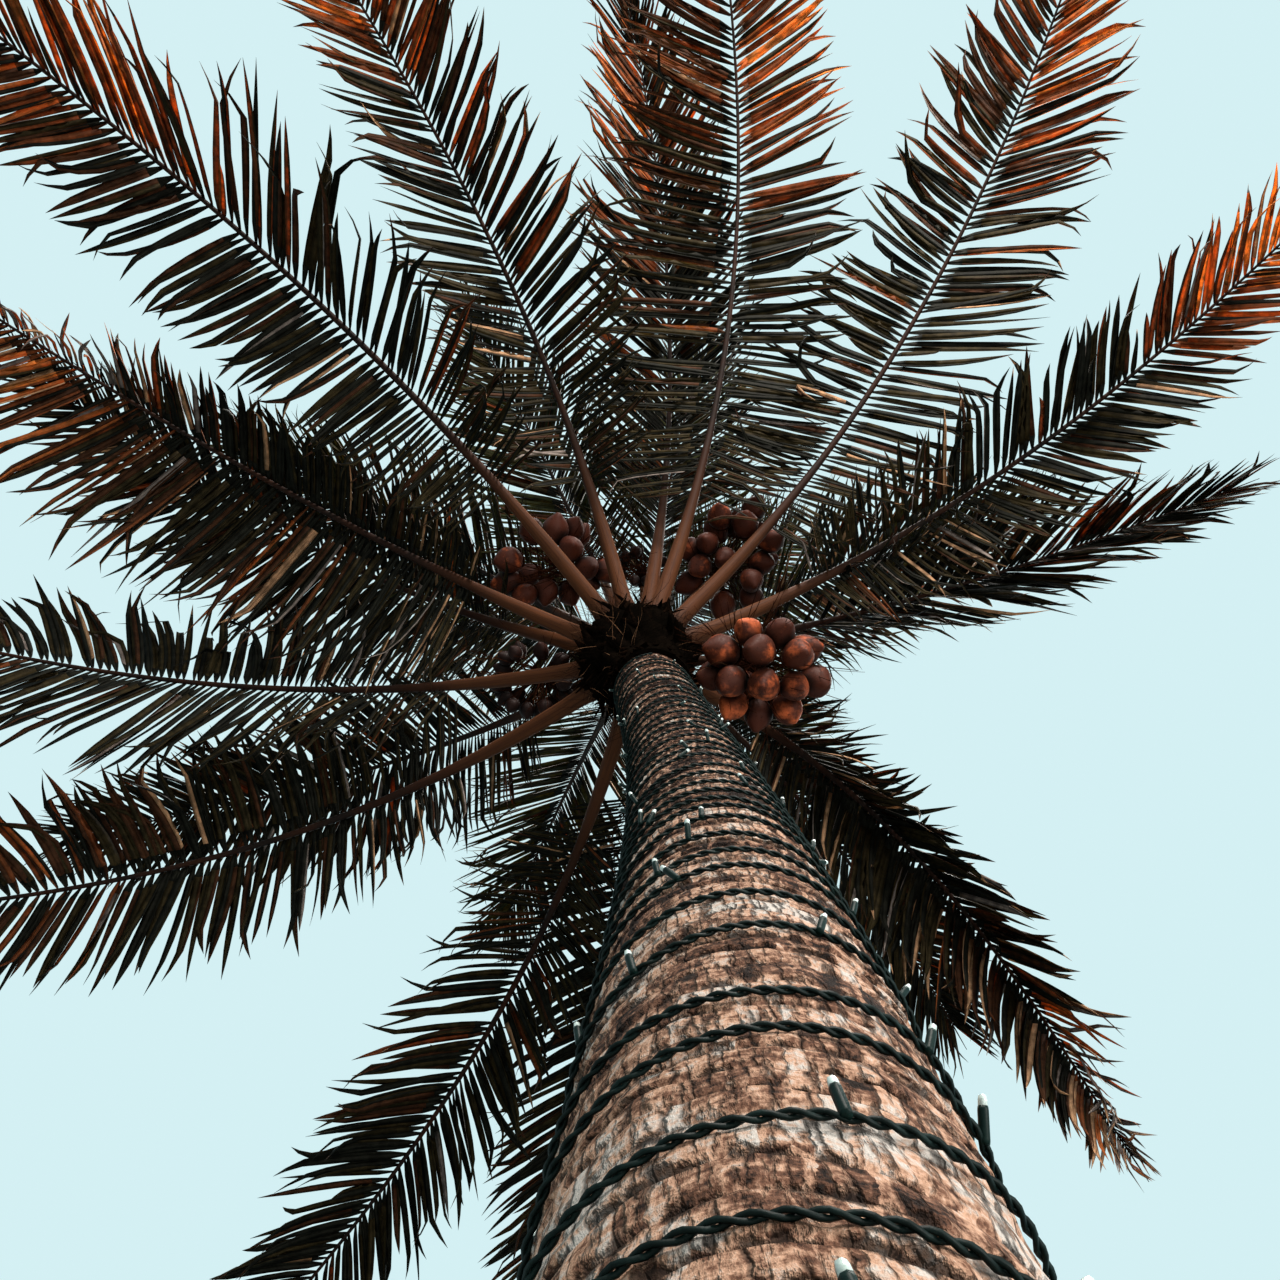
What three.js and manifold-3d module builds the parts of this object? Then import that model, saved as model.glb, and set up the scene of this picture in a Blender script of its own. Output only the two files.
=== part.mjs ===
// Coconut palm: a leaning, tapering trunk, the heart of leaf bases at its top, the fronds
// that spring from the heart and the bunches of nuts that hang under them.
// Millimetres, +Z up. The origin is the middle of the trunk's flat foot. -Y is the side
// that the palm is looked at from, and +X is to the right from there.
import * as THREE from 'three';
import { mergeVertices } from 'three/addons/utils/BufferGeometryUtils.js';
import Module from 'manifold-3d';

const wasm = await Module();
wasm.setup();

// Trunk
const TRUNK_HEIGHT = 7300;
const TRUNK_LOW_RADIUS = 194;
const TRUNK_TOP_RADIUS = 147;
const FLARE = 118; // what the root flare adds to the radius at the ground
const FLARE_HEIGHT = 330; // the height over which most of the flare is lost
const TRUNK_SIDES = 20;
const TRUNK_RINGS = 22;
const TRUNK_LINE = new THREE.CubicBezierCurve3(
  new THREE.Vector3(0, 0, 0),
  new THREE.Vector3(137, -237, TRUNK_HEIGHT / 3),
  new THREE.Vector3(241, 103, (2 * TRUNK_HEIGHT) / 3),
  new THREE.Vector3(-47, -335, TRUNK_HEIGHT),
);
const CROWN = TRUNK_LINE.v3;
const BARK_TOP = 6700; // where the heart's collar of fibre closes round the trunk
const GAP = 0.3; // between pieces that touch

// Heart: the sheaths and fibre that the fronds grow out of, as radius and height above the
// end of the trunk's line. Its collar, below that end, follows the line.
const HEART_OUTLINE = [
  [0, BARK_TOP - CROWN.z], [172, BARK_TOP - CROWN.z], [184, -400], [214, -180], [256, 0],
  [262, 190], [238, 420], [200, 640], [138, 860], [60, 1040], [0, 1040],
];
const HEART_SIDES = 16;

// Fronds
const FROND_ROOT_RADIUS = 120; // how far from the heart's axis the rib starts
const LEAFLET_PAIRS = 13;
const PETIOLE_STEPS = 4;
const BARE_SHARE = 0.18; // the petiole's share of the rib
const BEND_POWER = 1.6; // a frond bends more towards its tip
const RIB_STEPS = 120; // for adding up the rib's bend
const RIB_WIDTHS = [[0, 60], [0.05, 46], [0.2, 33], [0.5, 21], [0.8, 12], [1, 6]]; // half widths
const RIB_DEPTHS = [[0, 40], [0.05, 31], [0.2, 24], [0.5, 16], [0.8, 10], [1, 6]]; // half depths
const LEAFLET_LENGTHS = [[0, 420], [0.12, 660], [0.35, 760], [0.65, 700], [0.88, 500], [1, 320]];
const LEAFLET_ANGLES = [[0, 98], [0.3, 77], [0.6, 60], [0.8, 50], [1, 24]]; // from the rib, in degrees
const LEAFLET_TILTS = [-25, -25]; // how far the left and right ones point above their rib's plane
const LEAFLET_WAIST = 0.36; // width at the bend, as a share of the room at the rib
const LEAFLET_THICKNESS = 0.011; // of its length
const SPLIT_DROOP = 70; // a frond that bends further is made as two pieces
const SPLIT_SHARE = 0.6; // where it is divided along the rib

// The fronds that show from below, in order round the crown. Angles in degrees: azimuth at
// the heart and its turn over the length, rise at the heart and what is lost of it by the
// tip, sag of the leaflets, and where a frond is rolled the tilts of its left and right ones.
// Lengths in millimetres: the rib, its root above the trunk's top. `leaves` gives the size
// of the left and right leaflets where that isn't 1.
const OUTER_FRONDS = [
  { azimuth: -20, turn: -30, rise: 30, droop: 52, sag: 0.35, length: 5200, root: 140,
    tilts: [-39, -31], leaves: [0.84, 0.83] },
  { azimuth: -42, turn: -35, rise: 33, droop: 58, sag: 0.3, length: 5300, root: 230,
    tilts: [-30, 42], leaves: [1, 1.03] },
  { azimuth: -68, turn: -35, rise: 38, droop: 58, sag: 0.3, length: 5300, root: 300,
    tilts: [2, 21], leaves: [0.97, 1.2] },
  { azimuth: -79, turn: -24, rise: 51, droop: 58, sag: 0.35, length: 5200, root: 400,
    tilts: [-25, -25], leaves: [1, 1.1] },
  { azimuth: -105, turn: -21, rise: 33, droop: 58, sag: 0.3, length: 5200, root: 350,
    tilts: [-29, -33], leaves: [1, 0.9] },
  { azimuth: -128, turn: -21, rise: 10, droop: 52, sag: 0.25, length: 5300, root: 250,
    tilts: [-56, -9], leaves: [1.27, 0.83] },
  { azimuth: -159, turn: 16, rise: 30, droop: 62, sag: 0.35, length: 5000, root: 190,
    tilts: [-26, -10], leaves: [0.62, 1.27] },
  { azimuth: -171, turn: 30, rise: 44, droop: 60, sag: 0.6, length: 4500, root: 330 },
  { azimuth: 168, turn: 36, rise: 22, droop: 56, sag: 0.45, length: 4900, root: 185,
    tilts: [63, -68], leaves: [0.85, 1.28] },
  { azimuth: 150, turn: 22, rise: 50, droop: 62, sag: 0.7, length: 4500, root: 380 },
  { azimuth: 145, turn: 46, rise: 14, droop: 56, sag: 0.5, length: 5100, root: 75,
    tilts: [44, -41], leaves: [0.9, 0.88] },
  { azimuth: 104, turn: 37, rise: 24, droop: 68, sag: 0.6, length: 4800, root: 90,
    tilts: [-31, -47], leaves: [0.99, 0.88] },
  { azimuth: 92, turn: 14, rise: 40, droop: 72, sag: 0.7, length: 4500, root: 280 },
  { azimuth: 70, turn: 18, rise: 30, droop: 70, sag: 0.7, length: 4300, root: 160 },
  { azimuth: 38, turn: 24, rise: 54, droop: 84, sag: 0.8, length: 3300, root: 330 },
  { azimuth: 26, turn: 43, rise: 28, droop: 100, sag: 1.2, length: 3500, root: 130,
    tilts: [-35, -70], leaves: [1, 1.1] },
  { azimuth: -7, turn: -16, rise: 42, droop: 60, sag: 0.9, length: 3800, root: 300,
    tilts: [-75, -45], leaves: [1.1, 1] },
];

// The younger fronds above them, lowest first and each more upright than the last
const INNER_AZIMUTHS = [72, -156, -20, -118, 118, -82, 38, -176, -34];

// Spear: the youngest frond, still folded
const SPEAR_LENGTH = 1900;
const SPEAR_RADIUS = 34;
const SPEAR_LEAN = new THREE.Vector3(60, -40, 0);

// Bunches of nuts. In millimetres: how far out and how far above the end of the trunk's line
// the middle is, and the stalk's root, and the nuts' radius. rings gives the nuts in each
// layer from the top. The first and last hang, the others rest on a petiole.
const BUNCHES = [
  { azimuth: 1, reach: 560, height: -330, root: 60, rings: [4, 4, 3, 1], radius: 78 },
  { azimuth: -45, reach: 685, height: 1030, root: 400, rings: [6, 5], radius: 72 },
  { azimuth: -132, reach: 645, height: 910, root: 500, rings: [6, 5], radius: 70 },
  { azimuth: 167, reach: 552, height: 575, root: 320, rings: [5, 4], radius: 60 },
  { azimuth: -88, reach: 445, height: 1160, root: 620, rings: [4, 4], radius: 38 },
  { azimuth: 78, reach: 540, height: -330, root: 60, rings: [4, 4, 2], radius: 76 },
];
const STALK_SHARE = 0.28; // the stalk's radius, as a share of a nut's
const STALK_ROOT_RADIUS = 150; // inside the heart, which the stalk is then cut by
const NUT_STRETCH = 1.2;
const CORE_SHARE = 0.85; // the core that the nuts grow into, as a share of a nut's radius
const CORE_DEPTH = 0.3; // how far it reaches into the nuts of a wide ring, as a share of it
const NUT_SPACING = 1.04; // of a nut's width
const RING_SPACING = 1.05; // of the space between two nuts

const FINISHES = {
  bark: { color: 0x8f7460, roughness: 0.9, metalness: 0 },
  fibre: { color: 0x33261c, roughness: 1, metalness: 0 },
  leaf: { color: 0x3c3a20, roughness: 0.7, metalness: 0 },
  nut: { color: 0xa3562a, roughness: 0.6, metalness: 0 },
};

const radians = THREE.MathUtils.degToRad;
const lerp = THREE.MathUtils.lerp;

// A value between -1 and 1 that is always the same for the same two numbers
function wobble(a, b) {
  const value = Math.sin(a * 12.9898 + b * 78.233) * 43758.5453;
  return 2 * (value - Math.floor(value)) - 1;
}

// The value at `share` on a line through [share, value] points
function along(points, share) {
  const next = Math.max(1, points.findIndex(([at]) => at >= share));
  const [a, from] = points[next - 1];
  const [b, to] = points[next];
  return lerp(from, to, THREE.MathUtils.clamp((share - a) / (b - a), 0, 1));
}

function onCrown(azimuth, radius, height) {
  const angle = radians(azimuth);
  return new THREE.Vector3(
    CROWN.x + radius * Math.cos(angle),
    CROWN.y + radius * Math.sin(angle),
    CROWN.z + height,
  );
}

// Joining and cutting

function toSolid(geometry) {
  const bare = geometry.clone();
  bare.deleteAttribute('normal');
  bare.deleteAttribute('uv');
  const merged = mergeVertices(bare, 1e-3);
  return new wasm.Manifold(
    new wasm.Mesh({
      numProp: 3,
      vertProperties: new Float32Array(merged.attributes.position.array),
      triVerts: new Uint32Array(merged.index.array),
    }),
  );
}

function toGeometry(solid) {
  const mesh = solid.getMesh();
  const geometry = new THREE.BufferGeometry();
  geometry.setAttribute('position', new THREE.BufferAttribute(new Float32Array(mesh.vertProperties), 3));
  geometry.setIndex(new THREE.BufferAttribute(new Uint32Array(mesh.triVerts), 1));
  return geometry;
}

function boxesMeet(a, b) {
  const first = a.boundingBox();
  const second = b.boundingBox();
  return [0, 1, 2].every((k) => first.min[k] <= second.max[k] && second.min[k] <= first.max[k]);
}

function meet(a, b) {
  return boxesMeet(a, b) && !a.intersect(b).isEmpty();
}

// The biggest shell of a solid: hollows sealed by joining are filled, and loose scraps dropped
function mainShell(solid) {
  return solid.decompose().reduce((most, piece) => (piece.volume() > most.volume() ? piece : most));
}

// Collects the corners and triangles of a shape that no ready-made geometry gives
class Faces {
  constructor() {
    this.corners = [];
  }

  triangle(a, b, c) {
    for (const point of [a, b, c]) this.corners.push(point.x, point.y, point.z);
  }

  quad(a, b, c, d) {
    this.triangle(a, b, c);
    this.triangle(a, c, d);
  }

  // The walls from one loop of corners to the next
  walls(from, to) {
    from.forEach((corner, i) => {
      const next = (i + 1) % from.length;
      this.quad(corner, from[next], to[next], to[i]);
    });
  }

  // The walls from a loop of corners to a point
  point(from, tip) {
    from.forEach((corner, i) => this.triangle(corner, from[(i + 1) % from.length], tip));
  }

  geometry() {
    const geometry = new THREE.BufferGeometry();
    geometry.setAttribute('position', new THREE.Float32BufferAttribute(this.corners, 3));
    return mergeVertices(geometry, 1e-3);
  }
}

// Trunk, heart, spear and stalks

// A round bar bent along a curve, its sections kept level or square to the curve
function bar(curve, radiusAt, sides, rings, level, spacing = (share) => share) {
  const geometry = new THREE.CylinderGeometry(1, 1, 1, sides, rings);
  const place = geometry.attributes.position;
  for (let i = 0; i < place.count; i += 1) {
    const share = spacing(THREE.MathUtils.clamp(place.getY(i) + 0.5, 0, 1));
    const middle = curve.getPoint(share);
    const forward = level ? new THREE.Vector3(0, 0, 1) : curve.getTangent(share);
    const turn = new THREE.Quaternion().setFromUnitVectors(new THREE.Vector3(0, 1, 0), forward);
    const spoke = new THREE.Vector3(place.getX(i), 0, place.getZ(i)).applyQuaternion(turn);
    middle.addScaledVector(spoke, radiusAt(share));
    place.setXYZ(i, middle.x, middle.y, middle.z);
  }
  return geometry;
}

function trunkRadius(share) {
  const height = share * TRUNK_HEIGHT;
  return lerp(TRUNK_LOW_RADIUS, TRUNK_TOP_RADIUS, share) + FLARE * Math.exp(-height / FLARE_HEIGHT);
}

function makeTrunk() {
  const closerAtFoot = (share) => (BARK_TOP / TRUNK_HEIGHT) * share ** 1.5;
  return bar(TRUNK_LINE, trunkRadius, TRUNK_SIDES, TRUNK_RINGS, true, closerAtFoot);
}

function makeHeart(grow) {
  const bottom = HEART_OUTLINE[0][1];
  const top = HEART_OUTLINE.at(-1)[1];
  const outline = HEART_OUTLINE.map(([radius, height]) => {
    const side = height === bottom ? -grow : height === top ? grow : 0;
    return new THREE.Vector2(radius === 0 ? 0 : radius + grow, height + side);
  });
  const heart = new THREE.LatheGeometry(outline, HEART_SIDES);
  heart.rotateX(Math.PI / 2);
  heart.translate(CROWN.x, CROWN.y, CROWN.z + GAP);
  const place = heart.attributes.position;
  for (let i = 0; i < place.count; i += 1) {
    const axis = TRUNK_LINE.getPoint(Math.min(place.getZ(i) / TRUNK_HEIGHT, 1));
    place.setXY(i, place.getX(i) + axis.x - CROWN.x, place.getY(i) + axis.y - CROWN.y);
  }
  return heart;
}

function makeSpear() {
  const foot = new THREE.Vector3(CROWN.x, CROWN.y, CROWN.z + HEART_OUTLINE.at(-1)[1] + 2 * GAP);
  const middle = foot.clone().add(new THREE.Vector3(0, 0, SPEAR_LENGTH / 2));
  const tip = foot.clone().add(new THREE.Vector3(0, 0, SPEAR_LENGTH)).add(SPEAR_LEAN);
  const line = new THREE.QuadraticBezierCurve3(foot, middle, tip);
  return bar(line, (share) => SPEAR_RADIUS * (1 - 0.9 * share ** 2), 6, 4, true);
}

// Fronds

function innerFrond(i) {
  const youth = i / (INNER_AZIMUTHS.length - 1);
  return {
    azimuth: INNER_AZIMUTHS[i],
    turn: 10 * wobble(i, 1),
    rise: lerp(60, 80, youth),
    droop: lerp(60, 34, youth),
    sag: lerp(0.5, 0.15, youth),
    length: lerp(4500, 3300, youth),
    root: lerp(430, 830, youth),
  };
}

// Points along a frond's rib, each with the rib's direction, its side and its upper face
function ribStations(frond, shares) {
  const direction = (share) => {
    const azimuth = radians(frond.azimuth + frond.turn * share);
    const pitch = radians(frond.rise - frond.droop * share ** BEND_POWER);
    const level = Math.cos(pitch);
    return new THREE.Vector3(level * Math.cos(azimuth), level * Math.sin(azimuth), Math.sin(pitch));
  };
  const line = [onCrown(frond.azimuth, FROND_ROOT_RADIUS, frond.root)];
  for (let i = 0; i < RIB_STEPS; i += 1) {
    const step = direction((i + 0.5) / RIB_STEPS).multiplyScalar(frond.length / RIB_STEPS);
    line.push(line[i].clone().add(step));
  }
  return shares.map((share) => {
    const at = share * RIB_STEPS;
    const from = Math.min(Math.floor(at), RIB_STEPS - 1);
    const middle = line[from].clone().lerp(line[from + 1], at - from);
    const azimuth = radians(frond.azimuth + frond.turn * share);
    const forward = direction(share);
    const side = new THREE.Vector3(-Math.sin(azimuth), Math.cos(azimuth), 0);
    const up = forward.clone().cross(side);
    return { share, middle, forward, side, up };
  });
}

// The four corners of the rib at a station: left top, right top, right bottom, left bottom
function ribCorners({ share, middle, side, up }) {
  const width = along(RIB_WIDTHS, share);
  const depth = along(RIB_DEPTHS, share);
  return [[1, 1], [-1, 1], [-1, -1], [1, -1]].map(([across, over]) =>
    middle.clone().addScaledVector(side, across * width).addScaledVector(up, over * depth));
}

// A leaflet's four corners at its bend, in the order of the rib's side that it leaves, and
// its tip. `left` is 1 or -1.
function leaflet(frond, stations, i, left) {
  const [from, to] = [stations[i], stations[i + 1]];
  const share = ((from.share + to.share) / 2 - BARE_SHARE) / (1 - BARE_SHARE);
  const hand = left > 0 ? 0 : 1;
  const size = (frond.leaves ?? [1, 1])[hand] * (1 + 0.08 * wobble(i + frond.azimuth, left));
  const length = along(LEAFLET_LENGTHS, share) * size;
  const angle = radians(along(LEAFLET_ANGLES, share) + 4 * wobble(i, frond.azimuth + left));
  const tilt = radians((frond.tilts ?? LEAFLET_TILTS)[hand]);
  const out = from.forward.clone().multiplyScalar(Math.cos(angle))
    .addScaledVector(from.side, left * Math.sin(angle) * Math.cos(tilt))
    .addScaledVector(from.up, Math.sin(angle) * Math.sin(tilt))
    .normalize();
  const root = from.middle.clone().lerp(to.middle, 0.5)
    .addScaledVector(from.side, left * along(RIB_WIDTHS, from.share));
  const bend = root.clone().addScaledVector(out, length / 2);
  const fall = out.clone().add(new THREE.Vector3(0, 0, -frond.sag)).normalize();
  const tip = bend.clone().addScaledVector(fall, length / 2);
  const across = from.forward.clone().addScaledVector(out, -from.forward.dot(out)).normalize();
  const over = across.clone().cross(out).multiplyScalar(left);
  const width = (LEAFLET_WAIST / 2) * from.middle.distanceTo(to.middle) * Math.sin(angle);
  const depth = (LEAFLET_THICKNESS / 2) * length;
  const order = left > 0 ? [[-1, -1], [-1, 1], [1, 1], [1, -1]] : [[-1, 1], [-1, -1], [1, -1], [1, 1]];
  const corners = order.map(([ahead, above]) =>
    bend.clone().addScaledVector(across, ahead * width).addScaledVector(over, above * depth));
  return { corners, tip };
}

// The rib's four corners that a leaflet on its left or right side leaves from
function leafletRoot(corners, i, left) {
  const [a, b] = left > 0 ? [3, 0] : [1, 2];
  return [corners[i][a], corners[i][b], corners[i + 1][b], corners[i + 1][a]];
}

// One leaflet as a closed shape of its own, for finding what it would touch
function leafletSolid(root, { corners, tip }) {
  const faces = new Faces();
  faces.walls(root, corners);
  faces.point(corners, tip);
  faces.quad(root[3], root[2], root[1], root[0]);
  return toSolid(faces.geometry());
}

// The stations of the whole frond, as shares of its rib, and the first that bears leaflets
function frondShares() {
  const petiole = Array.from({ length: PETIOLE_STEPS }, (_, i) => (BARE_SHARE * i) / PETIOLE_STEPS);
  const blade = Array.from({ length: LEAFLET_PAIRS + 1 }, (_, i) =>
    lerp(BARE_SHARE, 0.97, i / LEAFLET_PAIRS));
  return [...petiole, ...blade];
}

// A stretch of the frond from one station to another, with the leaflets that it keeps
function frondPiece(frond, first, last, keeps) {
  const { stations, corners } = frond;
  const faces = new Faces();
  faces.quad(corners[first][3], corners[first][2], corners[first][1], corners[first][0]);
  for (let i = first; i < last; i += 1) {
    const sides = [[0, 1], [2, 3]];
    for (const left of [1, -1]) {
      const root = leafletRoot(corners, i, left);
      const blade = i >= PETIOLE_STEPS && keeps(i, left) ? leaflet(frond, stations, i, left) : null;
      if (blade) {
        faces.walls(root, blade.corners);
        faces.point(blade.corners, blade.tip);
      } else {
        sides.push(left > 0 ? [3, 0] : [1, 2]);
      }
    }
    for (const [a, b] of sides) {
      faces.quad(corners[i][a], corners[i][b], corners[i + 1][b], corners[i + 1][a]);
    }
  }
  if (last === stations.length - 1) {
    const end = stations[last];
    faces.point(corners[last], end.middle.clone().addScaledVector(end.forward, 0.03 * frond.length));
  } else {
    faces.quad(corners[last][0], corners[last][1], corners[last][2], corners[last][3]);
  }
  return faces.geometry();
}

// Bunches

// Nuts packed round the end of the stalk, in rings each turned half a step from the last
function nutPlaces({ rings, radius }) {
  const step = 2 * radius * NUT_SPACING;
  return rings.flatMap((count, level) => {
    const spread = (step / 2) / Math.sin(Math.PI / Math.max(count, 2));
    return Array.from({ length: count }, (_, i) => {
      const angle = (2 * Math.PI * (i + 0.5 * level)) / count;
      const lift = -level * step * RING_SPACING;
      return new THREE.Vector3(spread * Math.cos(angle), spread * Math.sin(angle), lift);
    });
  });
}

function makeBunch(bunch) {
  const start = onCrown(bunch.azimuth, STALK_ROOT_RADIUS, bunch.root);
  const places = nutPlaces(bunch);
  const depth = -places.at(-1).z;
  const top = onCrown(bunch.azimuth, bunch.reach, bunch.height + depth / 2);
  const knee = new THREE.Vector3(top.x, top.y, Math.max(start.z, top.z) + 40);
  const foot = top.clone().add(new THREE.Vector3(0, 0, -depth));
  const stalkLine = new THREE.QuadraticBezierCurve3(start, knee, top);
  const stalk = bar(stalkLine, () => STALK_SHARE * bunch.radius, 6, 5, false);
  const coreLine = new THREE.LineCurve3(foot, top.clone().add(new THREE.Vector3(0, 0, 25)));
  const spread = Math.max(...places.map((place) => Math.hypot(place.x, place.y)));
  const girth = Math.max(CORE_SHARE * bunch.radius, spread - (1 - CORE_DEPTH) * bunch.radius);
  const core = bar(coreLine, () => girth, 12, 1, true);
  let solid = toSolid(stalk).add(toSolid(core));
  places.forEach((place, i) => {
    const nut = new THREE.IcosahedronGeometry(bunch.radius);
    nut.scale(1, 1, NUT_STRETCH);
    nut.rotateX(0.3 * wobble(i, bunch.azimuth));
    nut.rotateY(0.3 * wobble(bunch.azimuth, i));
    nut.translate(top.x + place.x, top.y + place.y, top.z + place.z);
    solid = solid.add(toSolid(nut));
  });
  return solid;
}

// Assembly

const palm = new THREE.Group();

function addNode(name, geometry, finish) {
  const mesh = new THREE.Mesh(geometry, new THREE.MeshStandardMaterial({ ...FINISHES[finish] }));
  mesh.name = name;
  palm.add(mesh);
}

const heartCut = toSolid(makeHeart(GAP));
addNode('trunk', makeTrunk(), 'bark');
addNode('crown_heart', makeHeart(0), 'fibre');
addNode('spear', makeSpear(), 'leaf');

const bunches = BUNCHES.map((bunch) => mainShell(makeBunch(bunch).subtract(heartCut)));
bunches.forEach((bunch, i) => addNode(`bunch_${i + 1}`, toGeometry(bunch), 'nut'));

const shares = frondShares();
const fronds = [...OUTER_FRONDS, ...INNER_AZIMUTHS.map((_, i) => innerFrond(i))];
fronds.forEach((frond) => {
  frond.stations = ribStations(frond, shares);
  frond.corners = frond.stations.map(ribCorners);
});

// Bare ribs first, so that every leaflet is tried against all of them
const nothing = () => false;
const lastStation = shares.length - 1;
const ribs = fronds.map((frond) => toSolid(frondPiece(frond, 0, lastStation, nothing)));
const others = [...bunches, toSolid(makeSpear()), toSolid(makeTrunk()), heartCut];
const placed = [];
fronds.forEach((frond, f) => {
  frond.kept = new Set();
  const room = [...ribs.filter((_, r) => r !== f), ...others];
  for (let i = PETIOLE_STEPS; i < lastStation; i += 1) {
    for (const left of [1, -1]) {
      const blade = leaflet(frond, frond.stations, i, left);
      const solid = leafletSolid(leafletRoot(frond.corners, i, left), blade);
      const near = placed.filter((other) => other.frond !== f).map((other) => other.solid);
      if ([...room, ...near].some((other) => meet(solid, other))) continue;
      frond.kept.add(i * left);
      placed.push({ frond: f, solid });
    }
  }
});

fronds.forEach((frond, f) => {
  const name = `frond_${String(f + 1).padStart(2, '0')}`;
  const keeps = (i, left) => frond.kept.has(i * left);
  const cut = (geometry) => toGeometry(mainShell(toSolid(geometry).subtract(heartCut)));
  if (frond.droop < SPLIT_DROOP) {
    addNode(name, cut(frondPiece(frond, 0, lastStation, keeps)), 'leaf');
    return;
  }
  const split = Math.round(lerp(PETIOLE_STEPS, lastStation, SPLIT_SHARE));
  addNode(`${name}_inner`, cut(frondPiece(frond, 0, split, keeps)), 'leaf');
  const outer = frondPiece(frond, split, lastStation, keeps);
  const apart = frond.stations[split].forward.clone().multiplyScalar(GAP);
  addNode(`${name}_outer`, outer.translate(apart.x, apart.y, apart.z), 'leaf');
});

export default palm;
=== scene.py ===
"""A coconut palm with its bunches of nuts and a string of lights wound round its trunk.

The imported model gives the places. Lengths are in metres, +Z is up, the origin is the middle
of the trunk's flat foot, -Y is the viewer's side and +X is to the right from there. The
sizes that the model and this dress share are named alike and repeated here.
"""
import logging
import math
from dataclasses import dataclass, field
from enum import Enum, IntEnum
from typing import Callable, Iterable, Mapping, Sequence

import bmesh
import bpy
import numpy as np
from mathutils import Matrix, Vector
from mathutils.kdtree import KDTree
from mathutils.noise import fractal


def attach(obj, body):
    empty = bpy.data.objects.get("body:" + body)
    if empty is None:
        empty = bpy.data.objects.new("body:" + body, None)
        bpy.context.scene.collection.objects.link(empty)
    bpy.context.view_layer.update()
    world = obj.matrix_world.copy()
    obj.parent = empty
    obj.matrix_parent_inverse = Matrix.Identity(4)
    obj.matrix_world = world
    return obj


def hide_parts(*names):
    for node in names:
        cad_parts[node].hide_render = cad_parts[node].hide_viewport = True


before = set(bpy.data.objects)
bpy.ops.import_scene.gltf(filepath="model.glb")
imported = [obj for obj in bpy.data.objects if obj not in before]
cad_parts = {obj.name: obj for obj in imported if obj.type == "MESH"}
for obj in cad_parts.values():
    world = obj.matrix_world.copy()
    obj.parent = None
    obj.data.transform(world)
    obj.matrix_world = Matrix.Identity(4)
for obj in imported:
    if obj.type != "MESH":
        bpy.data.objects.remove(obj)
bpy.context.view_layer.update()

LOG = logging.getLogger("palm")

BODY = "root"
TRUNK_HEIGHT = 7.3
TRUNK_LOW_RADIUS = 0.194
TRUNK_TOP_RADIUS = 0.147
FLARE = 0.118
FLARE_HEIGHT = 0.330
TRUNK_LINE = np.array([
    (0.0, 0.0, 0.0),
    (0.137, -0.237, TRUNK_HEIGHT / 3),
    (0.241, 0.103, 2 * TRUNK_HEIGHT / 3),
    (-0.047, -0.335, TRUNK_HEIGHT),
])
CROWN = TRUNK_LINE[3]
BARK_TOP = 6.7
HEART_OUTLINE = [
    (-0.600, 0.172), (-0.400, 0.184), (-0.180, 0.214), (0.000, 0.256), (0.190, 0.262),
    (0.420, 0.238), (0.640, 0.200), (0.860, 0.138), (1.040, 0.060),
]
HEART_FOOT = HEART_OUTLINE[0][0]
HEART_TOP = HEART_OUTLINE[-1][0]
FROND_ROOT_RADIUS = 0.120
BARE_SHARE = 0.18
BEND_POWER = 1.6
RIB_STEPS = 120
RIB_WIDTHS = [(0, 0.060), (0.05, 0.046), (0.2, 0.033), (0.5, 0.021), (0.8, 0.012), (1, 0.006)]
RIB_DEPTHS = [(0, 0.040), (0.05, 0.031), (0.2, 0.024), (0.5, 0.016), (0.8, 0.010), (1, 0.006)]
LEAFLET_LENGTHS = [(0, 0.42), (0.12, 0.66), (0.35, 0.76), (0.65, 0.70), (0.88, 0.50), (1, 0.32)]
LEAFLET_ANGLES = [(0, 98), (0.3, 77), (0.6, 60), (0.8, 50), (1, 24)]
LEAFLET_PLACES = [(0, 0), (0.12, 0.085), (0.25, 0.20), (0.75, 0.765), (0.88, 0.90), (1, 1)]
RIB_SHRINK = [(0, 0.84), (0.12, 0.84), (0.30, 0.58), (1, 0.60)]
STALK_SIDES = 12
STALK_PASSES = (5, 7)
BUNCH_STALK_POINTS = 37
VIEW_STEPS = 1280
NUT_GAP = 0.02
CLASP_SHARE = -0.02
CLASP_WIDTH = 0.050
SPEAR_LENGTH = 1.9
SPEAR_LEAN = np.array((0.06, -0.04, 0.0))
UP = np.array((0.0, 0.0, 1.0))

PETIOLE_SHARE = 0.35
PETIOLE_POINTS = 90
PETIOLE_GIRTH = 0.8

Pair = tuple[float, float]
Triple = tuple[float, float, float]
Colour = Triple
Piece = bpy.types.Object


class Seed(IntEnum):
    """Where the random draws start. The last four have the bunch's or frond's number added."""

    RINGS = 11
    SHEATHS = 23
    STRANDS = 29
    DRY_STRANDS = 31
    TURNS = 71
    LAMPS = 73
    NUT_PLACES = 300
    NUT_TURNS = 400
    NUT_STRANDS = 500
    LEAFLETS = 1000


def along(points: Sequence[Pair], share: np.ndarray) -> np.ndarray:
    """Read a line of (share, value) points.

    Args:
        points: the line, in order of share.
        share: where to read it.

    Returns:
        The values there.
    """
    return np.interp(share, [at for at, _ in points], [value for _, value in points])


def unit(vectors: np.ndarray) -> np.ndarray:
    """Return vectors scaled to a length of one."""
    return vectors / np.maximum(np.linalg.norm(vectors, axis=-1, keepdims=True), 1e-9)


def wobble(first: float, second: float) -> float:
    """Return a value between -1 and 1 that is always the same for the same two numbers."""
    value = math.sin(first * 12.9898 + second * 78.233) * 43758.5453
    return 2 * (value - math.floor(value)) - 1


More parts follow.
